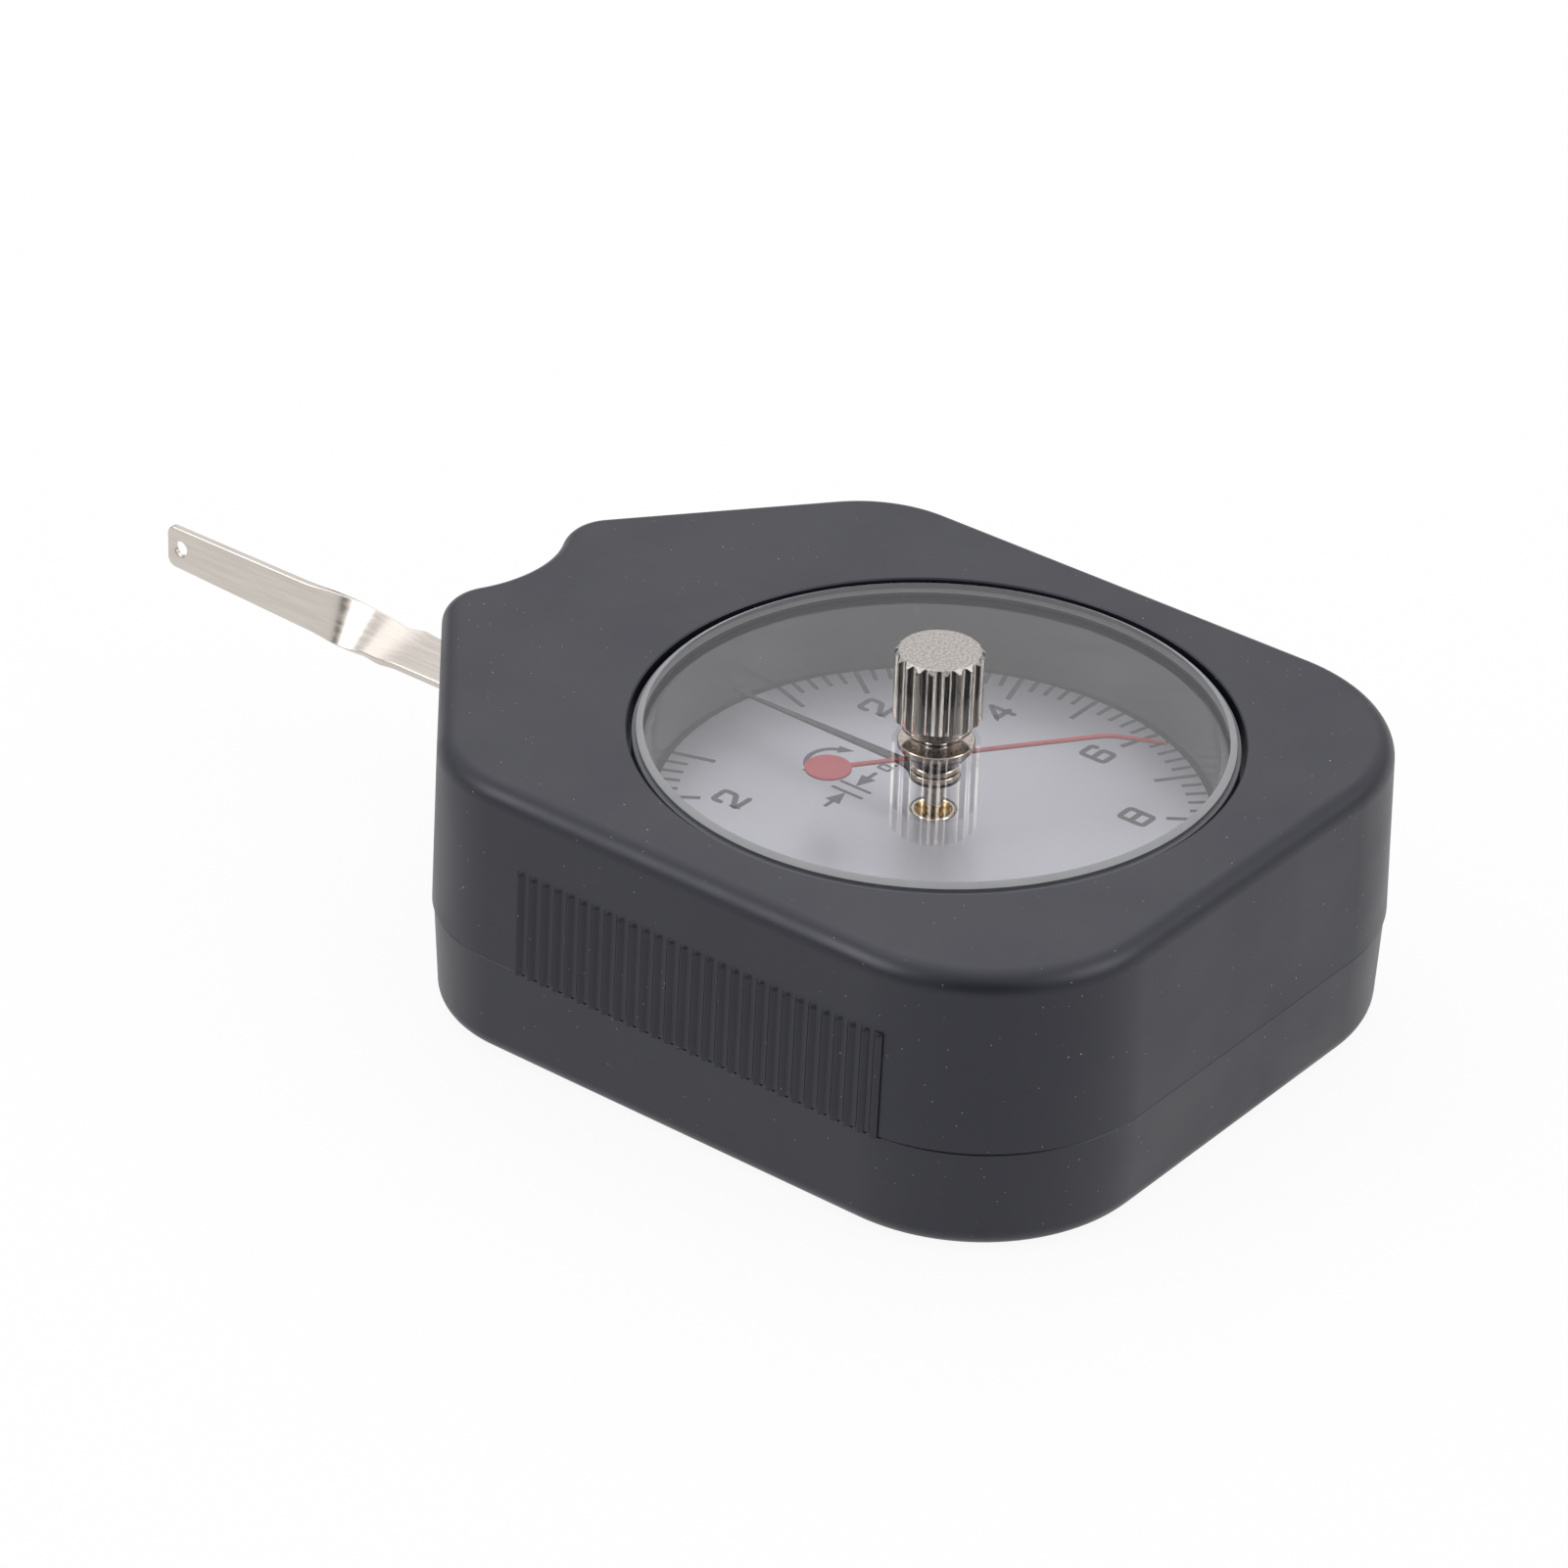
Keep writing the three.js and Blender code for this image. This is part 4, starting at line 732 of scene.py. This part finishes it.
def needle():
    """Tapered pointer, stamped flat, that widens into its round eye."""
    top, low, edge = NEEDLE_TOP, NEEDLE_BOTTOM, NEEDLE_EDGE
    half, tip = NEEDLE_HALF_WIDTH, NEEDLE_TIP_HALF_WIDTH
    root = NEEDLE_EYE_RADIUS * math.sqrt(0.5)
    eye = Vector((root, root))
    waist, blade = Vector((half, NEEDLE_EYE_RADIUS)), Vector((half, NEEDLE_FLARE))
    side = [(root, root)]
    for i in range(1, 13):
        t = i / 12
        side.append(tuple(eye.lerp(waist, t).lerp(waist.lerp(blade, t), t)))
    side += [(tip, NEEDLE_LENGTH - tip), (edge, NEEDLE_LENGTH)]
    outline = side + [(-x, y) for x, y in reversed(side)]
    rings = [[(math.copysign(max(abs(x) - inset, 0.01), x), y, z) for x, y in outline]
             for z, inset in ((low, 0), (top - edge, 0), (top, edge))]
    pointer = piece("pointer", *loft(rings))
    disc = solid(*lathe([
        (0, low), (NEEDLE_EYE_RADIUS, low), (NEEDLE_EYE_RADIUS, top - edge),
        (NEEDLE_EYE_RADIUS - edge, top), (0, top)], 72))
    combine(pointer, [disc], "UNION")
    combine(pointer, [rod(NEEDLE_BORE, low - PAST, top + PAST)], "DIFFERENCE")
    dress(pointer, "needle", ["black"])
    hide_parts("needle")


def needle_hub():
    """Turned collar that is pressed on the arbor, grooved round its waist."""
    low = NEEDLE_TOP + SEAT_GAP
    foot, waist, head = 2.05, 1.78, 2.0
    profile = [
        (NEEDLE_BORE, low), (foot, low), (foot, low + 0.36), (foot - 0.05, low + 0.41),
        (waist, low + 0.44), (waist, low + 0.58), (head - 0.05, low + 0.61), (head, low + 0.66),
        (head, HUB_TOP - 0.08), (head - 0.08, HUB_TOP), (NEEDLE_BORE, HUB_TOP)]
    hub = piece("needle_collar", *lathe(profile, 64), "needle", "nickel_plate", ["nickel"], 25)
    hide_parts("needle_hub")


def needle_arbor():
    """Arbor with its pinion, cut from one bar."""
    radius, pivot, chamfer = 0.8, 0.45, 0.08
    bottom, shoulder, top = 4.2, 5.6, 21.01
    arbor = piece("arbor_shaft", *lathe([
        (0, bottom), (pivot, bottom), (pivot, shoulder), (radius, shoulder),
        (radius, top - chamfer), (radius - chamfer, top), (0, top)], 48))
    low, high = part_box("sector_gear")[0].z / MM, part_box("sector_gear")[1].z / MM
    middle, half, count = (low + high) / 2, 0.99, 12
    # Radius and share of the pitch along one tooth
    tooth = ((0.95, -0.42), (1.2, -0.25), (1.4, -0.09), (1.4, 0.09), (1.2, 0.25), (0.95, 0.42))
    teeth = []
    for i in range(count):
        for reach, share in tooth:
            angle = math.pi / 2 + (i + 0.5 + share) * 2 * math.pi / count
            teeth.append((reach * math.cos(angle), reach * math.sin(angle)))
    rings = [[(x, y, z) for x, y in teeth] for z in (middle - half, middle + half)]
    combine(arbor, [solid(*loft(rings))], "UNION")
    dress(arbor, "needle", ["nickel"])
    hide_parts("needle_arbor")



# Peak hand and knob

def drag_hand():
    """Red hand with a round counterweight, a bare eye, and an arm that turns down near its end."""
    bend, run, reach, steps = 14.8, 1.1, 19.8, 8
    wide, narrow, ease = 0.25, 0.175, 0.06  # half the arm's and the tip's width, and the top edge
    weight_radius, weight_reach = 1.94, 9.1
    thick = HAND_TOP - HAND_BOTTOM
    middle = (HAND_TOP + HAND_BOTTOM) / 2
    drop = middle - NEEDLE_TOP - HAND_PASS_GAP - thick / 2
    fall = math.atan2(drop, reach - bend)
    turn, start = run / math.tan(fall / 2), bend - run
    stations = [(-weight_reach, middle, 0, wide)]
    for i in range(steps + 1):
        angle = fall * i / steps
        y, z = start + turn * math.sin(angle), middle - turn * (1 - math.cos(angle))
        stations.append((y, z, angle, wide))
    stations.append((reach, middle - drop, fall, narrow))
    rings = []
    for y, z, angle, half in stations:
        up = Vector((math.sin(angle), math.cos(angle))) * thick / 2
        flat = half - ease
        section = ((-half, -1), (half, -1), (half, 0.6), (flat, 1), (-flat, 1), (-half, 0.6))
        rings.append([(u, y + up.x * w, z + up.y * w) for u, w in section])
    hand = piece("peak_hand", *loft(rings))
    discs = []
    for radius, y in ((weight_radius, -weight_reach), (HAND_EYE_RADIUS, 0)):
        edge = arc(radius - ease, HAND_TOP - ease, ease, 0, 90, 3)
        profile = [(0, HAND_BOTTOM), (radius, HAND_BOTTOM)] + edge + [(0, HAND_TOP)]
        discs.append(solid(*lathe(profile, 72, 0, y)))
    combine(hand, discs, "UNION")
    combine(hand, [rod(DRIVE_BORE, HAND_BOTTOM - PAST, HAND_TOP + PAST)], "DIFFERENCE")
    hand.data.transform(Matrix.Rotation(math.radians(HAND_ANGLE), 4, "Z"))
    dress(hand, "drag_hand", ["red", "spring"])
    for face in hand.data.polygons:
        if Vector(face.center).xy.length < (HAND_EYE_RADIUS + 0.1) * MM:
            face.material_index = 1
    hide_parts("drag_hand")


def friction_drive():
    """Clamping flange under the crystal, and the cupped washer that presses it off the hand."""
    low, top, radius = FLANGE_BOTTOM, FLANGE_TOP, FLANGE_RADIUS
    profile = [(DRIVE_BORE, low), (radius - 0.05, low), (radius, low + 0.05),
               (radius, top - 0.06), (radius - 0.06, top), (DRIVE_BORE, top)]
    flange = piece("clamp_flange", *lathe(profile, 96), "drag_hand", "nickel_plate", ["nickel"])
    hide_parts("drag_flange")
    low, top = HAND_TOP + SEAT_GAP, FLANGE_BOTTOM - SEAT_GAP
    cup = low + WASHER_THICKNESS
    profile = [(DRIVE_BORE, low), (2.5, low), (2.6, low + 0.1), (3.05, top - 0.06), (3.1, top),
               (2.9, top), (2.45, cup + 0.06), (2.35, cup), (DRIVE_BORE, cup)]
    washer = piece("cupped_washer", *lathe(profile, 96), "drag_hand", "spring_steel", ["spring"])
    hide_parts("friction_washer")


def knob():
    """Knob with twenty cut flutes, a smooth neck that stands on the crystal, and a stem."""
    flutes = []
    half, steps = (1 - KNOB_CREST_SHARE) / 2, 7
    for i in range(KNOB_FLUTES):
        for step in range(-steps, steps + 1):
            across = step / steps
            angle = (i + half * across) * 2 * math.pi / KNOB_FLUTES
            radius = KNOB_RADIUS - KNOB_FLUTE_DEPTH * (1 - across ** 2)
            flutes.append((radius * math.cos(angle), radius * math.sin(angle)))
    rings = [[(x, y, z) for x, y in flutes] for z in (GRIP_BOTTOM, KNOB_TOP)]
    grip = piece("knob_turned", *loft(rings))
    # The flutes are cut first, and the ends are turned to this profile
    foot, rim = 3.3, KNOB_RADIUS - KNOB_CHAMFER
    envelope = solid(*lathe([
        (0, GRIP_BOTTOM - PAST), (foot, GRIP_BOTTOM - PAST), (foot, GRIP_BOTTOM),
        (GRIP_LIMIT, GRIP_BOTTOM + 0.3), (GRIP_LIMIT, KNOB_TOP - KNOB_CHAMFER - 0.15),
        (rim + 0.04, KNOB_TOP - 0.03), (rim - 0.05, KNOB_TOP), (0, KNOB_TOP)], 240))
    combine(grip, [envelope], "INTERSECT")
    groove = NECK_RADIUS - NECK_GROOVE
    body = solid(*lathe([
        (0, HAND_BOTTOM), (STEM_RADIUS - 0.05, HAND_BOTTOM), (STEM_RADIUS, HAND_BOTTOM + 0.05),
        (STEM_RADIUS, NECK_BOTTOM), (NECK_RADIUS - 0.04, NECK_BOTTOM),
        (NECK_RADIUS, NECK_BOTTOM + 0.04), (NECK_RADIUS, NECK_BOTTOM + 0.3),
        (groove, NECK_BOTTOM + 0.36), (groove, NECK_BOTTOM + 0.5),
        (NECK_RADIUS, NECK_BOTTOM + 0.56), (NECK_RADIUS, GRIP_BOTTOM + WELD),
        (0, GRIP_BOTTOM + WELD)], 120))
    combine(grip, [body], "UNION")
    dress(grip, "drag_hand", ["blasted", "drawn", "neck"], 25)
    for face in grip.data.polygons:
        # The neck and stem under the grip get a darker copy of the nickel, as painted shade
        if face.center.z < (GRIP_BOTTOM - HAIR / 2) * MM:
            face.material_index = 2
        elif face.normal.z < 0.3:
            face.material_index = 1
    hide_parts("knob")


# Materials

def linear(code):
    """An sRGB hex value as the linear colour that a shader takes."""
    parts = [int(code[i:i + 2], 16) / 255 for i in (1, 3, 5)]
    return [c / 12.92 if c <= 0.04045 else ((c + 0.055) / 1.055) ** 2.4 for c in parts] + [1]


def add(tree, kind, inputs=None, **settings):
    """Adds a node, sets its properties, and links or sets its inputs."""
    made = tree.nodes.new(kind)
    for key, value in settings.items():
        setattr(made, key, value)
    for key, value in (inputs or {}).items():
        if isinstance(value, bpy.types.NodeSocket):
            tree.links.new(value, made.inputs[key])
        else:
            made.inputs[key].default_value = value
    return made


def calc(tree, operation, first, second=0):
    """One step of arithmetic on sockets or numbers."""
    return add(tree, "ShaderNodeMath", {0: first, 1: second}, operation=operation).outputs[0]


def spread(tree, value, source, target, smooth=False):
    """Maps a value from one range to another, cut off at its ends."""
    ends = {"From Min": source[0], "From Max": source[1], "To Min": target[0], "To Max": target[1]}
    kind = "SMOOTHSTEP" if smooth else "LINEAR"
    made = add(tree, "ShaderNodeMapRange", {"Value": value, **ends}, interpolation_type=kind)
    return made.outputs[0]


def per(size):
    """Texture scale for a feature of this size in millimetres."""
    return 1 / (size * MM)


def noise(tree, place, size, detail):
    """Noise with features of this size in millimetres."""
    inputs = {"Vector": place, "Scale": per(size), "Detail": detail}
    return add(tree, "ShaderNodeTexNoise", inputs).outputs[0]


def blend(tree, share, first, second):
    """A colour between two."""
    inputs = {0: share, 6: first, 7: second}
    return add(tree, "ShaderNodeMix", inputs, data_type="RGBA").outputs[2]


def new_material(name):
    """An empty material: its tree, its surface shader and the piece's own coordinates."""
    made = bpy.data.materials.new(name)
    made.use_nodes = True
    tree = made.node_tree
    tree.nodes.clear()
    shader = add(tree, "ShaderNodeBsdfPrincipled")
    add(tree, "ShaderNodeOutputMaterial", {"Surface": shader.outputs[0]})
    place = add(tree, "ShaderNodeTexCoord").outputs["Object"]
    return made, tree, shader, place


def tint(tree, shader, share, dark, pale):
    """Colours a surface between two hex values by a texture."""
    tree.links.new(blend(tree, share, linear(dark), linear(pale)), shader.inputs["Base Color"])


def vary_roughness(tree, shader, marks, low, high):
    """Spreads a texture over a range of roughness."""
    tree.links.new(spread(tree, marks, (0.3, 0.7), (low, high)), shader.inputs["Roughness"])


def raise_marks(tree, shader, marks, strength):
    """Gives a surface the relief of a texture, a hundredth of a millimetre high."""
    inputs = {"Strength": strength, "Distance": 0.01 * MM, "Height": marks}
    bump = add(tree, "ShaderNodeBump", inputs)
    tree.links.new(bump.outputs[0], shader.inputs["Normal"])


def moulded_abs(name, dark, pale, roughness, grain):
    """Black ABS from a spark-eroded mould: a fine even grain that spreads the light."""
    made, tree, shader, place = new_material(name)
    cloud = noise(tree, place, 9, 4)
    colour = blend(tree, cloud, linear(dark), linear(pale))
    # Dust that black plastic always carries: pale grains 0.11 and 0.16 mm across, here and there
    drift = noise(tree, place, 14, 2)
    for apart, size, least in ((1.1, 0.05, 0.38), (2.7, 0.03, 0.42)):
        cells = {"Vector": place, "Scale": per(apart), "Randomness": 1}
        away = add(tree, "ShaderNodeTexVoronoi", cells).outputs["Distance"]
        speck = calc(tree, "LESS_THAN", away, size)
        dusty = calc(tree, "GREATER_THAN", drift, least)
        faint = calc(tree, "MULTIPLY", calc(tree, "MULTIPLY", speck, dusty), 0.5)
        colour = blend(tree, faint, colour, linear("#b4b4b2"))
    tree.links.new(colour, shader.inputs["Base Color"])
    vary_roughness(tree, shader, cloud, roughness - 0.05, roughness + 0.05)
    # The mould's grain, about 0.15 mm
    raise_marks(tree, shader, noise(tree, place, 0.15, 3), grain)
    shader.inputs["IOR"].default_value = 1.54
    shader.inputs["Specular Tint"].default_value = linear("#f4f5ff")
    return made


def cast_acrylic():
    """Clear cast acrylic, polished. Shadow and diffuse rays pass, so the dial gets its light."""
    made, tree, shader, place = new_material("cast_acrylic")
    shader.inputs["Base Color"].default_value = linear("#f9f9fb")
    shader.inputs["Transmission Weight"].default_value = 1
    shader.inputs["Roughness"].default_value = 0
    shader.inputs["IOR"].default_value = 1.49
    # Wiping marks
    raise_marks(tree, shader, noise(tree, place, 6, 3), 0.01)
    path = add(tree, "ShaderNodeLightPath").outputs
    through = calc(tree, "MAXIMUM", path["Is Shadow Ray"], path["Is Diffuse Ray"])
    clear = add(tree, "ShaderNodeBsdfTransparent", {"Color": linear("#f0f0f2")})
    shaders = {0: through, 1: shader.outputs[0], 2: clear.outputs[0]}
    mixed = add(tree, "ShaderNodeMixShader", shaders)
    output = next(n for n in tree.nodes if n.type == "OUTPUT_MATERIAL")
    tree.links.new(mixed.outputs[0], output.inputs["Surface"])
    return made


def even_finish(name, size, detail, dark, pale, low, high, relief=0):
    """A material whose colour, roughness and relief follow one noise. Returns its shader too."""
    made, tree, shader, place = new_material(name)
    marks = noise(tree, place, size, detail)
    tint(tree, shader, marks, dark, pale)
    vary_roughness(tree, shader, marks, low, high)
    if relief:
        raise_marks(tree, shader, marks, relief)
    return made, shader


def machined_acrylic(name, dark, pale):
    """The crystal's rim as the tool leaves it: unpolished, so it scatters the light. Its darker
    copy is painted shade of the gap round the crystal.
    """
    made, shader = even_finish(name, 2.5, 3, dark, pale, 0.45, 0.6)
    shader.inputs["IOR"].default_value = 1.49
    return made


def nitrile_rubber():
    """Black nitrile rubber, moulded: dull, with a slight bloom."""
    return even_finish("nitrile_rubber", 1.5, 3, "#121314", "#1d1e20", 0.6, 0.75)[0]


def silvered_lacquer():
    """Silver dial paint, sprayed: a soft even sheen with the sparkle of fine flakes."""
    made, shader = even_finish("silvered_lacquer", 0.18, 2, "#b2b2b8", "#c3c3c8", 0.42, 0.5, 0.15)
    shader.inputs["Metallic"].default_value = 0.6
    return made


def lacquer(name, dark, pale, roughness):
    """Sprayed lacquer on a thin stamping: smooth, with a slight orange peel."""
    return even_finish(name, 0.5, 2, dark, pale, roughness - 0.05, roughness + 0.05, 0.1)[0]


def metal(name, dark, pale, roughness, grain, stretch=(1, 1, 1), strength=0.1):
    """Bare or plated metal. The grain is the tool's marks, drawn out along the last cut."""
    made, tree, shader, place = new_material(name)
    drawn = add(tree, "ShaderNodeMapping", {"Vector": place, "Scale": stretch}).outputs[0]
    marks = noise(tree, drawn, grain, 4)
    tint(tree, shader, spread(tree, marks, (0.35, 0.65), (0, 1)), dark, pale)
    shader.inputs["Metallic"].default_value = 1
    vary_roughness(tree, shader, marks, roughness - 0.04, roughness + 0.06)
    raise_marks(tree, shader, marks, strength)
    return made


def dress_nodes():
    """The inner pieces keep their CAD shape and get their real finish."""
    finish_of = {
        "brass": ("upper_plate", "lower_plate", "pillar", "needle_bush", "lever_bush",
                  "measuring_spring_stud", "hairspring_stud", "hairspring_collet", "lever_hub",
                  "sector_gear"),
        "spring": ("measuring_spring", "hairspring"),
        "steel": ("upper_plate_screw", "lower_plate_screw", "movement_screw", "stop_pin",
                  "lever_arbor", "lever_screw"),
    }
    for name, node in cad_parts.items():
        if node.hide_render:
            continue
        # The longest stem that fits is the right one
        fits = [(len(stem), finish) for finish, stems in finish_of.items() for stem in stems
                if name.startswith(stem)]
        node.data.materials.clear()
        node.data.materials.append(finishes[max(fits)[1]])


# Studio

def camera():
    """The photograph's view: a long lens, 31 degrees above the table."""
    made = bpy.data.objects.new("camera", bpy.data.cameras.new("camera"))
    bpy.context.scene.collection.objects.link(made)
    place = Vector((-381.95, -276.09, 302.99)) * MM
    back = Vector((-0.68136, -0.52009, 0.51504)).normalized()
    right = (-back).cross(Vector((0, 0, 1))).normalized()
    up = right.cross(-back)
    roll = math.radians(1.8)
    across = right * math.cos(roll) + up * math.sin(roll)
    upward = up * math.cos(roll) - right * math.sin(roll)
    turn = Matrix((across, upward, back)).transposed().to_4x4()
    made.matrix_world = Matrix.Translation(place) @ turn
    made.data.lens = 154.19
    made.data.sensor_width = 36
    made.data.clip_start = 0.01
    made.data.clip_end = 10
    bpy.context.scene.camera = made


def backdrop():
    """White sweep: it looks white to the lens, in metal and through glass, and takes a shadow."""
    made = bpy.data.materials.new("white_sweep")
    made.use_nodes = True
    tree = made.node_tree
    tree.nodes.clear()
    path = add(tree, "ShaderNodeLightPath").outputs
    seen = calc(tree, "MAXIMUM", path["Is Camera Ray"], path["Is Glossy Ray"])
    seen = calc(tree, "MAXIMUM", seen, path["Is Transmission Ray"])
    paper = add(tree, "ShaderNodeBsdfDiffuse", {"Color": linear("#fbfbfb")})
    white = add(tree, "ShaderNodeEmission", {"Color": (1, 1, 1, 1), "Strength": 1})
    share = calc(tree, "MULTIPLY", seen, 0.92)
    shaders = {0: share, 1: paper.outputs[0], 2: white.outputs[0]}
    mixed = add(tree, "ShaderNodeMixShader", shaders)
    add(tree, "ShaderNodeOutputMaterial", {"Surface": mixed.outputs[0]})
    half = 3  # metres
    corners = [(-half, -half, 0), (half, -half, 0), (half, half, 0), (-half, half, 0)]
    mesh = bpy.data.meshes.new("sweep")
    mesh.from_pydata(corners, [], [(0, 1, 2, 3)])
    mesh.materials.append(made)
    floor = bpy.data.objects.new("sweep", mesh)
    bpy.context.scene.collection.objects.link(floor)


def soft_lamp(name, place, aim, width, height, power):
    """A square-edged area lamp, in metres and watts."""
    lamp = bpy.data.lights.new(name, "AREA")
    lamp.shape = "RECTANGLE"
    lamp.size, lamp.size_y = width, height
    lamp.energy = power
    made = bpy.data.objects.new(name, lamp)
    made.location = place
    made.rotation_euler = (Vector(aim) - Vector(place)).to_track_quat("-Z", "Y").to_euler()
    bpy.context.scene.collection.objects.link(made)


def facing(tree, toward, direction):
    """How nearly a ray runs in a direction: 1 when it does."""
    inputs = {0: toward, 1: Vector(direction).normalized()}
    made = add(tree, "ShaderNodeVectorMath", inputs, operation="DOT_PRODUCT")
    return made.outputs["Value"]


def studio():
    """White surroundings, with the dark of the room on one side and low down, and a soft lamp."""
    world = bpy.data.worlds.new("studio")
    world.use_nodes = True
    tree = world.node_tree
    tree.nodes.clear()
    path = add(tree, "ShaderNodeLightPath").outputs
    toward = add(tree, "ShaderNodeTexCoord").outputs["Generated"]
    # The room that the photo was taken from, and the dark gap between the table and the lamps
    room = facing(tree, toward, (-0.72, -0.55, 0.42))
    behind = spread(tree, room, (0.78, 0.93), (1, 0.15), smooth=True)
    height = add(tree, "ShaderNodeSeparateXYZ", {0: toward}).outputs["Z"]
    level = calc(tree, "ABSOLUTE", calc(tree, "SUBTRACT", height, 0.13))
    gap = spread(tree, level, (0.05, 0.13), (0.12, 1), smooth=True)
    seen = spread(tree, path["Is Diffuse Ray"], (0, 1), (1, 0.78))
    mirrored = calc(tree, "MULTIPLY", seen, calc(tree, "MULTIPLY", behind, gap))
    # Two softboxes beside the table, as the metal mirrors them
    rise = math.tan(math.radians(34))
    for turn in map(math.radians, (142, 292)):
        near = facing(tree, toward, (math.cos(turn), math.sin(turn), rise))
        patch = spread(tree, near, (0.955, 0.98), (0, 4))
        shown = add(tree, "ShaderNodeMix", {0: path["Is Diffuse Ray"], 2: patch, 3: 0}).outputs[0]
        mirrored = calc(tree, "ADD", mirrored, shown)
    light = add(tree, "ShaderNodeMix", {0: path["Is Camera Ray"], 2: mirrored, 3: 1}).outputs[0]
    sky = add(tree, "ShaderNodeBackground", {"Color": (1, 1, 1, 1), "Strength": light})
    add(tree, "ShaderNodeOutputWorld", {"Surface": sky.outputs[0]})
    bpy.context.scene.world = world
    soft_lamp("top_softbox", (0.32, 0.29, 0.93), (0, 0.02, 0), 1.1, 1.1, 3)
    bpy.context.scene.view_settings.view_transform = "Standard"


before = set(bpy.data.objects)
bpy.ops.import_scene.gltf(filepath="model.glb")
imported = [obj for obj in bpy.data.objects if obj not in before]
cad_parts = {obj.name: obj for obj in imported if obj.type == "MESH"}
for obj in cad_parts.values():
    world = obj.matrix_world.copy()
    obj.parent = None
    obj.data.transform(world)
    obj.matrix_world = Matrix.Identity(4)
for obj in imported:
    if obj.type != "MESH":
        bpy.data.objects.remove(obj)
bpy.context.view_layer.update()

camera()
backdrop()
studio()

finishes = {
    "satin": moulded_abs("satin_abs", "#13141d", "#191a23", 0.42, 0.25),
    "polished": moulded_abs("polished_abs", "#15161f", "#1a1b24", 0.2, 0),
    "acrylic": cast_acrylic(),
    "machined": machined_acrylic("machined_acrylic", "#97989b", "#adadb0"),
    # The crystal's rim: a darker copy of the frosted acrylic, as painted shade of the gap round the
    # crystal
    "sawn": machined_acrylic("frosted_rim_painted_shade", "#606167", "#73747a"),
    "rubber": nitrile_rubber(),
    "silver": silvered_lacquer(),
    "ink": lacquer("screen_ink", "#4c4c52", "#54545a", 0.6),
    "red": lacquer("red_lacquer", "#b0222c", "#ba2a33", 0.35),
    "black": lacquer("black_lacquer", "#1b1b1f", "#222226", 0.45),
    "nickel": metal("turned_nickel", "#b9aea0", "#cdc3b6", 0.12, 0.3, (1, 1, 1), 0.05),
    # The knob's neck: a darker copy of the nickel, as painted shade under the grip
    "neck": metal("neck_nickel_painted_shade", "#9a9086", "#aea49a", 0.15, 0.3, (1, 1, 1), 0.05),
    "blasted": metal("blasted_nickel", "#8f8a86", "#b9b4b0", 0.36, 0.22, (1, 1, 1), 0.8),
    "drawn": metal("fluted_nickel", "#a8a198", "#dcd7d0", 0.08, 0.09, (1, 1, 0.03), 0.25),
    "stainless": metal("rolled_stainless", "#c6beb7", "#cfc8c1", 0.23, 0.4, (1, 0.06, 1), 0.02),
    "brass": metal("turned_brass", "#a98a55", "#bf9f68", 0.25, 0.5),
    "steel": metal("turned_steel", "#8d9095", "#a0a3a8", 0.25, 0.4),
    "spring": metal("blued_steel", "#454c5e", "#596075", 0.3, 0.6),
}

for build in (case_shell, case_cover, case_screws, crystal, crystal_seal, dial_face, dial_print,
              dial_bush, feeler_strip, needle, needle_hub, needle_arbor, drag_hand,
              friction_drive, knob, dress_nodes):
    build()
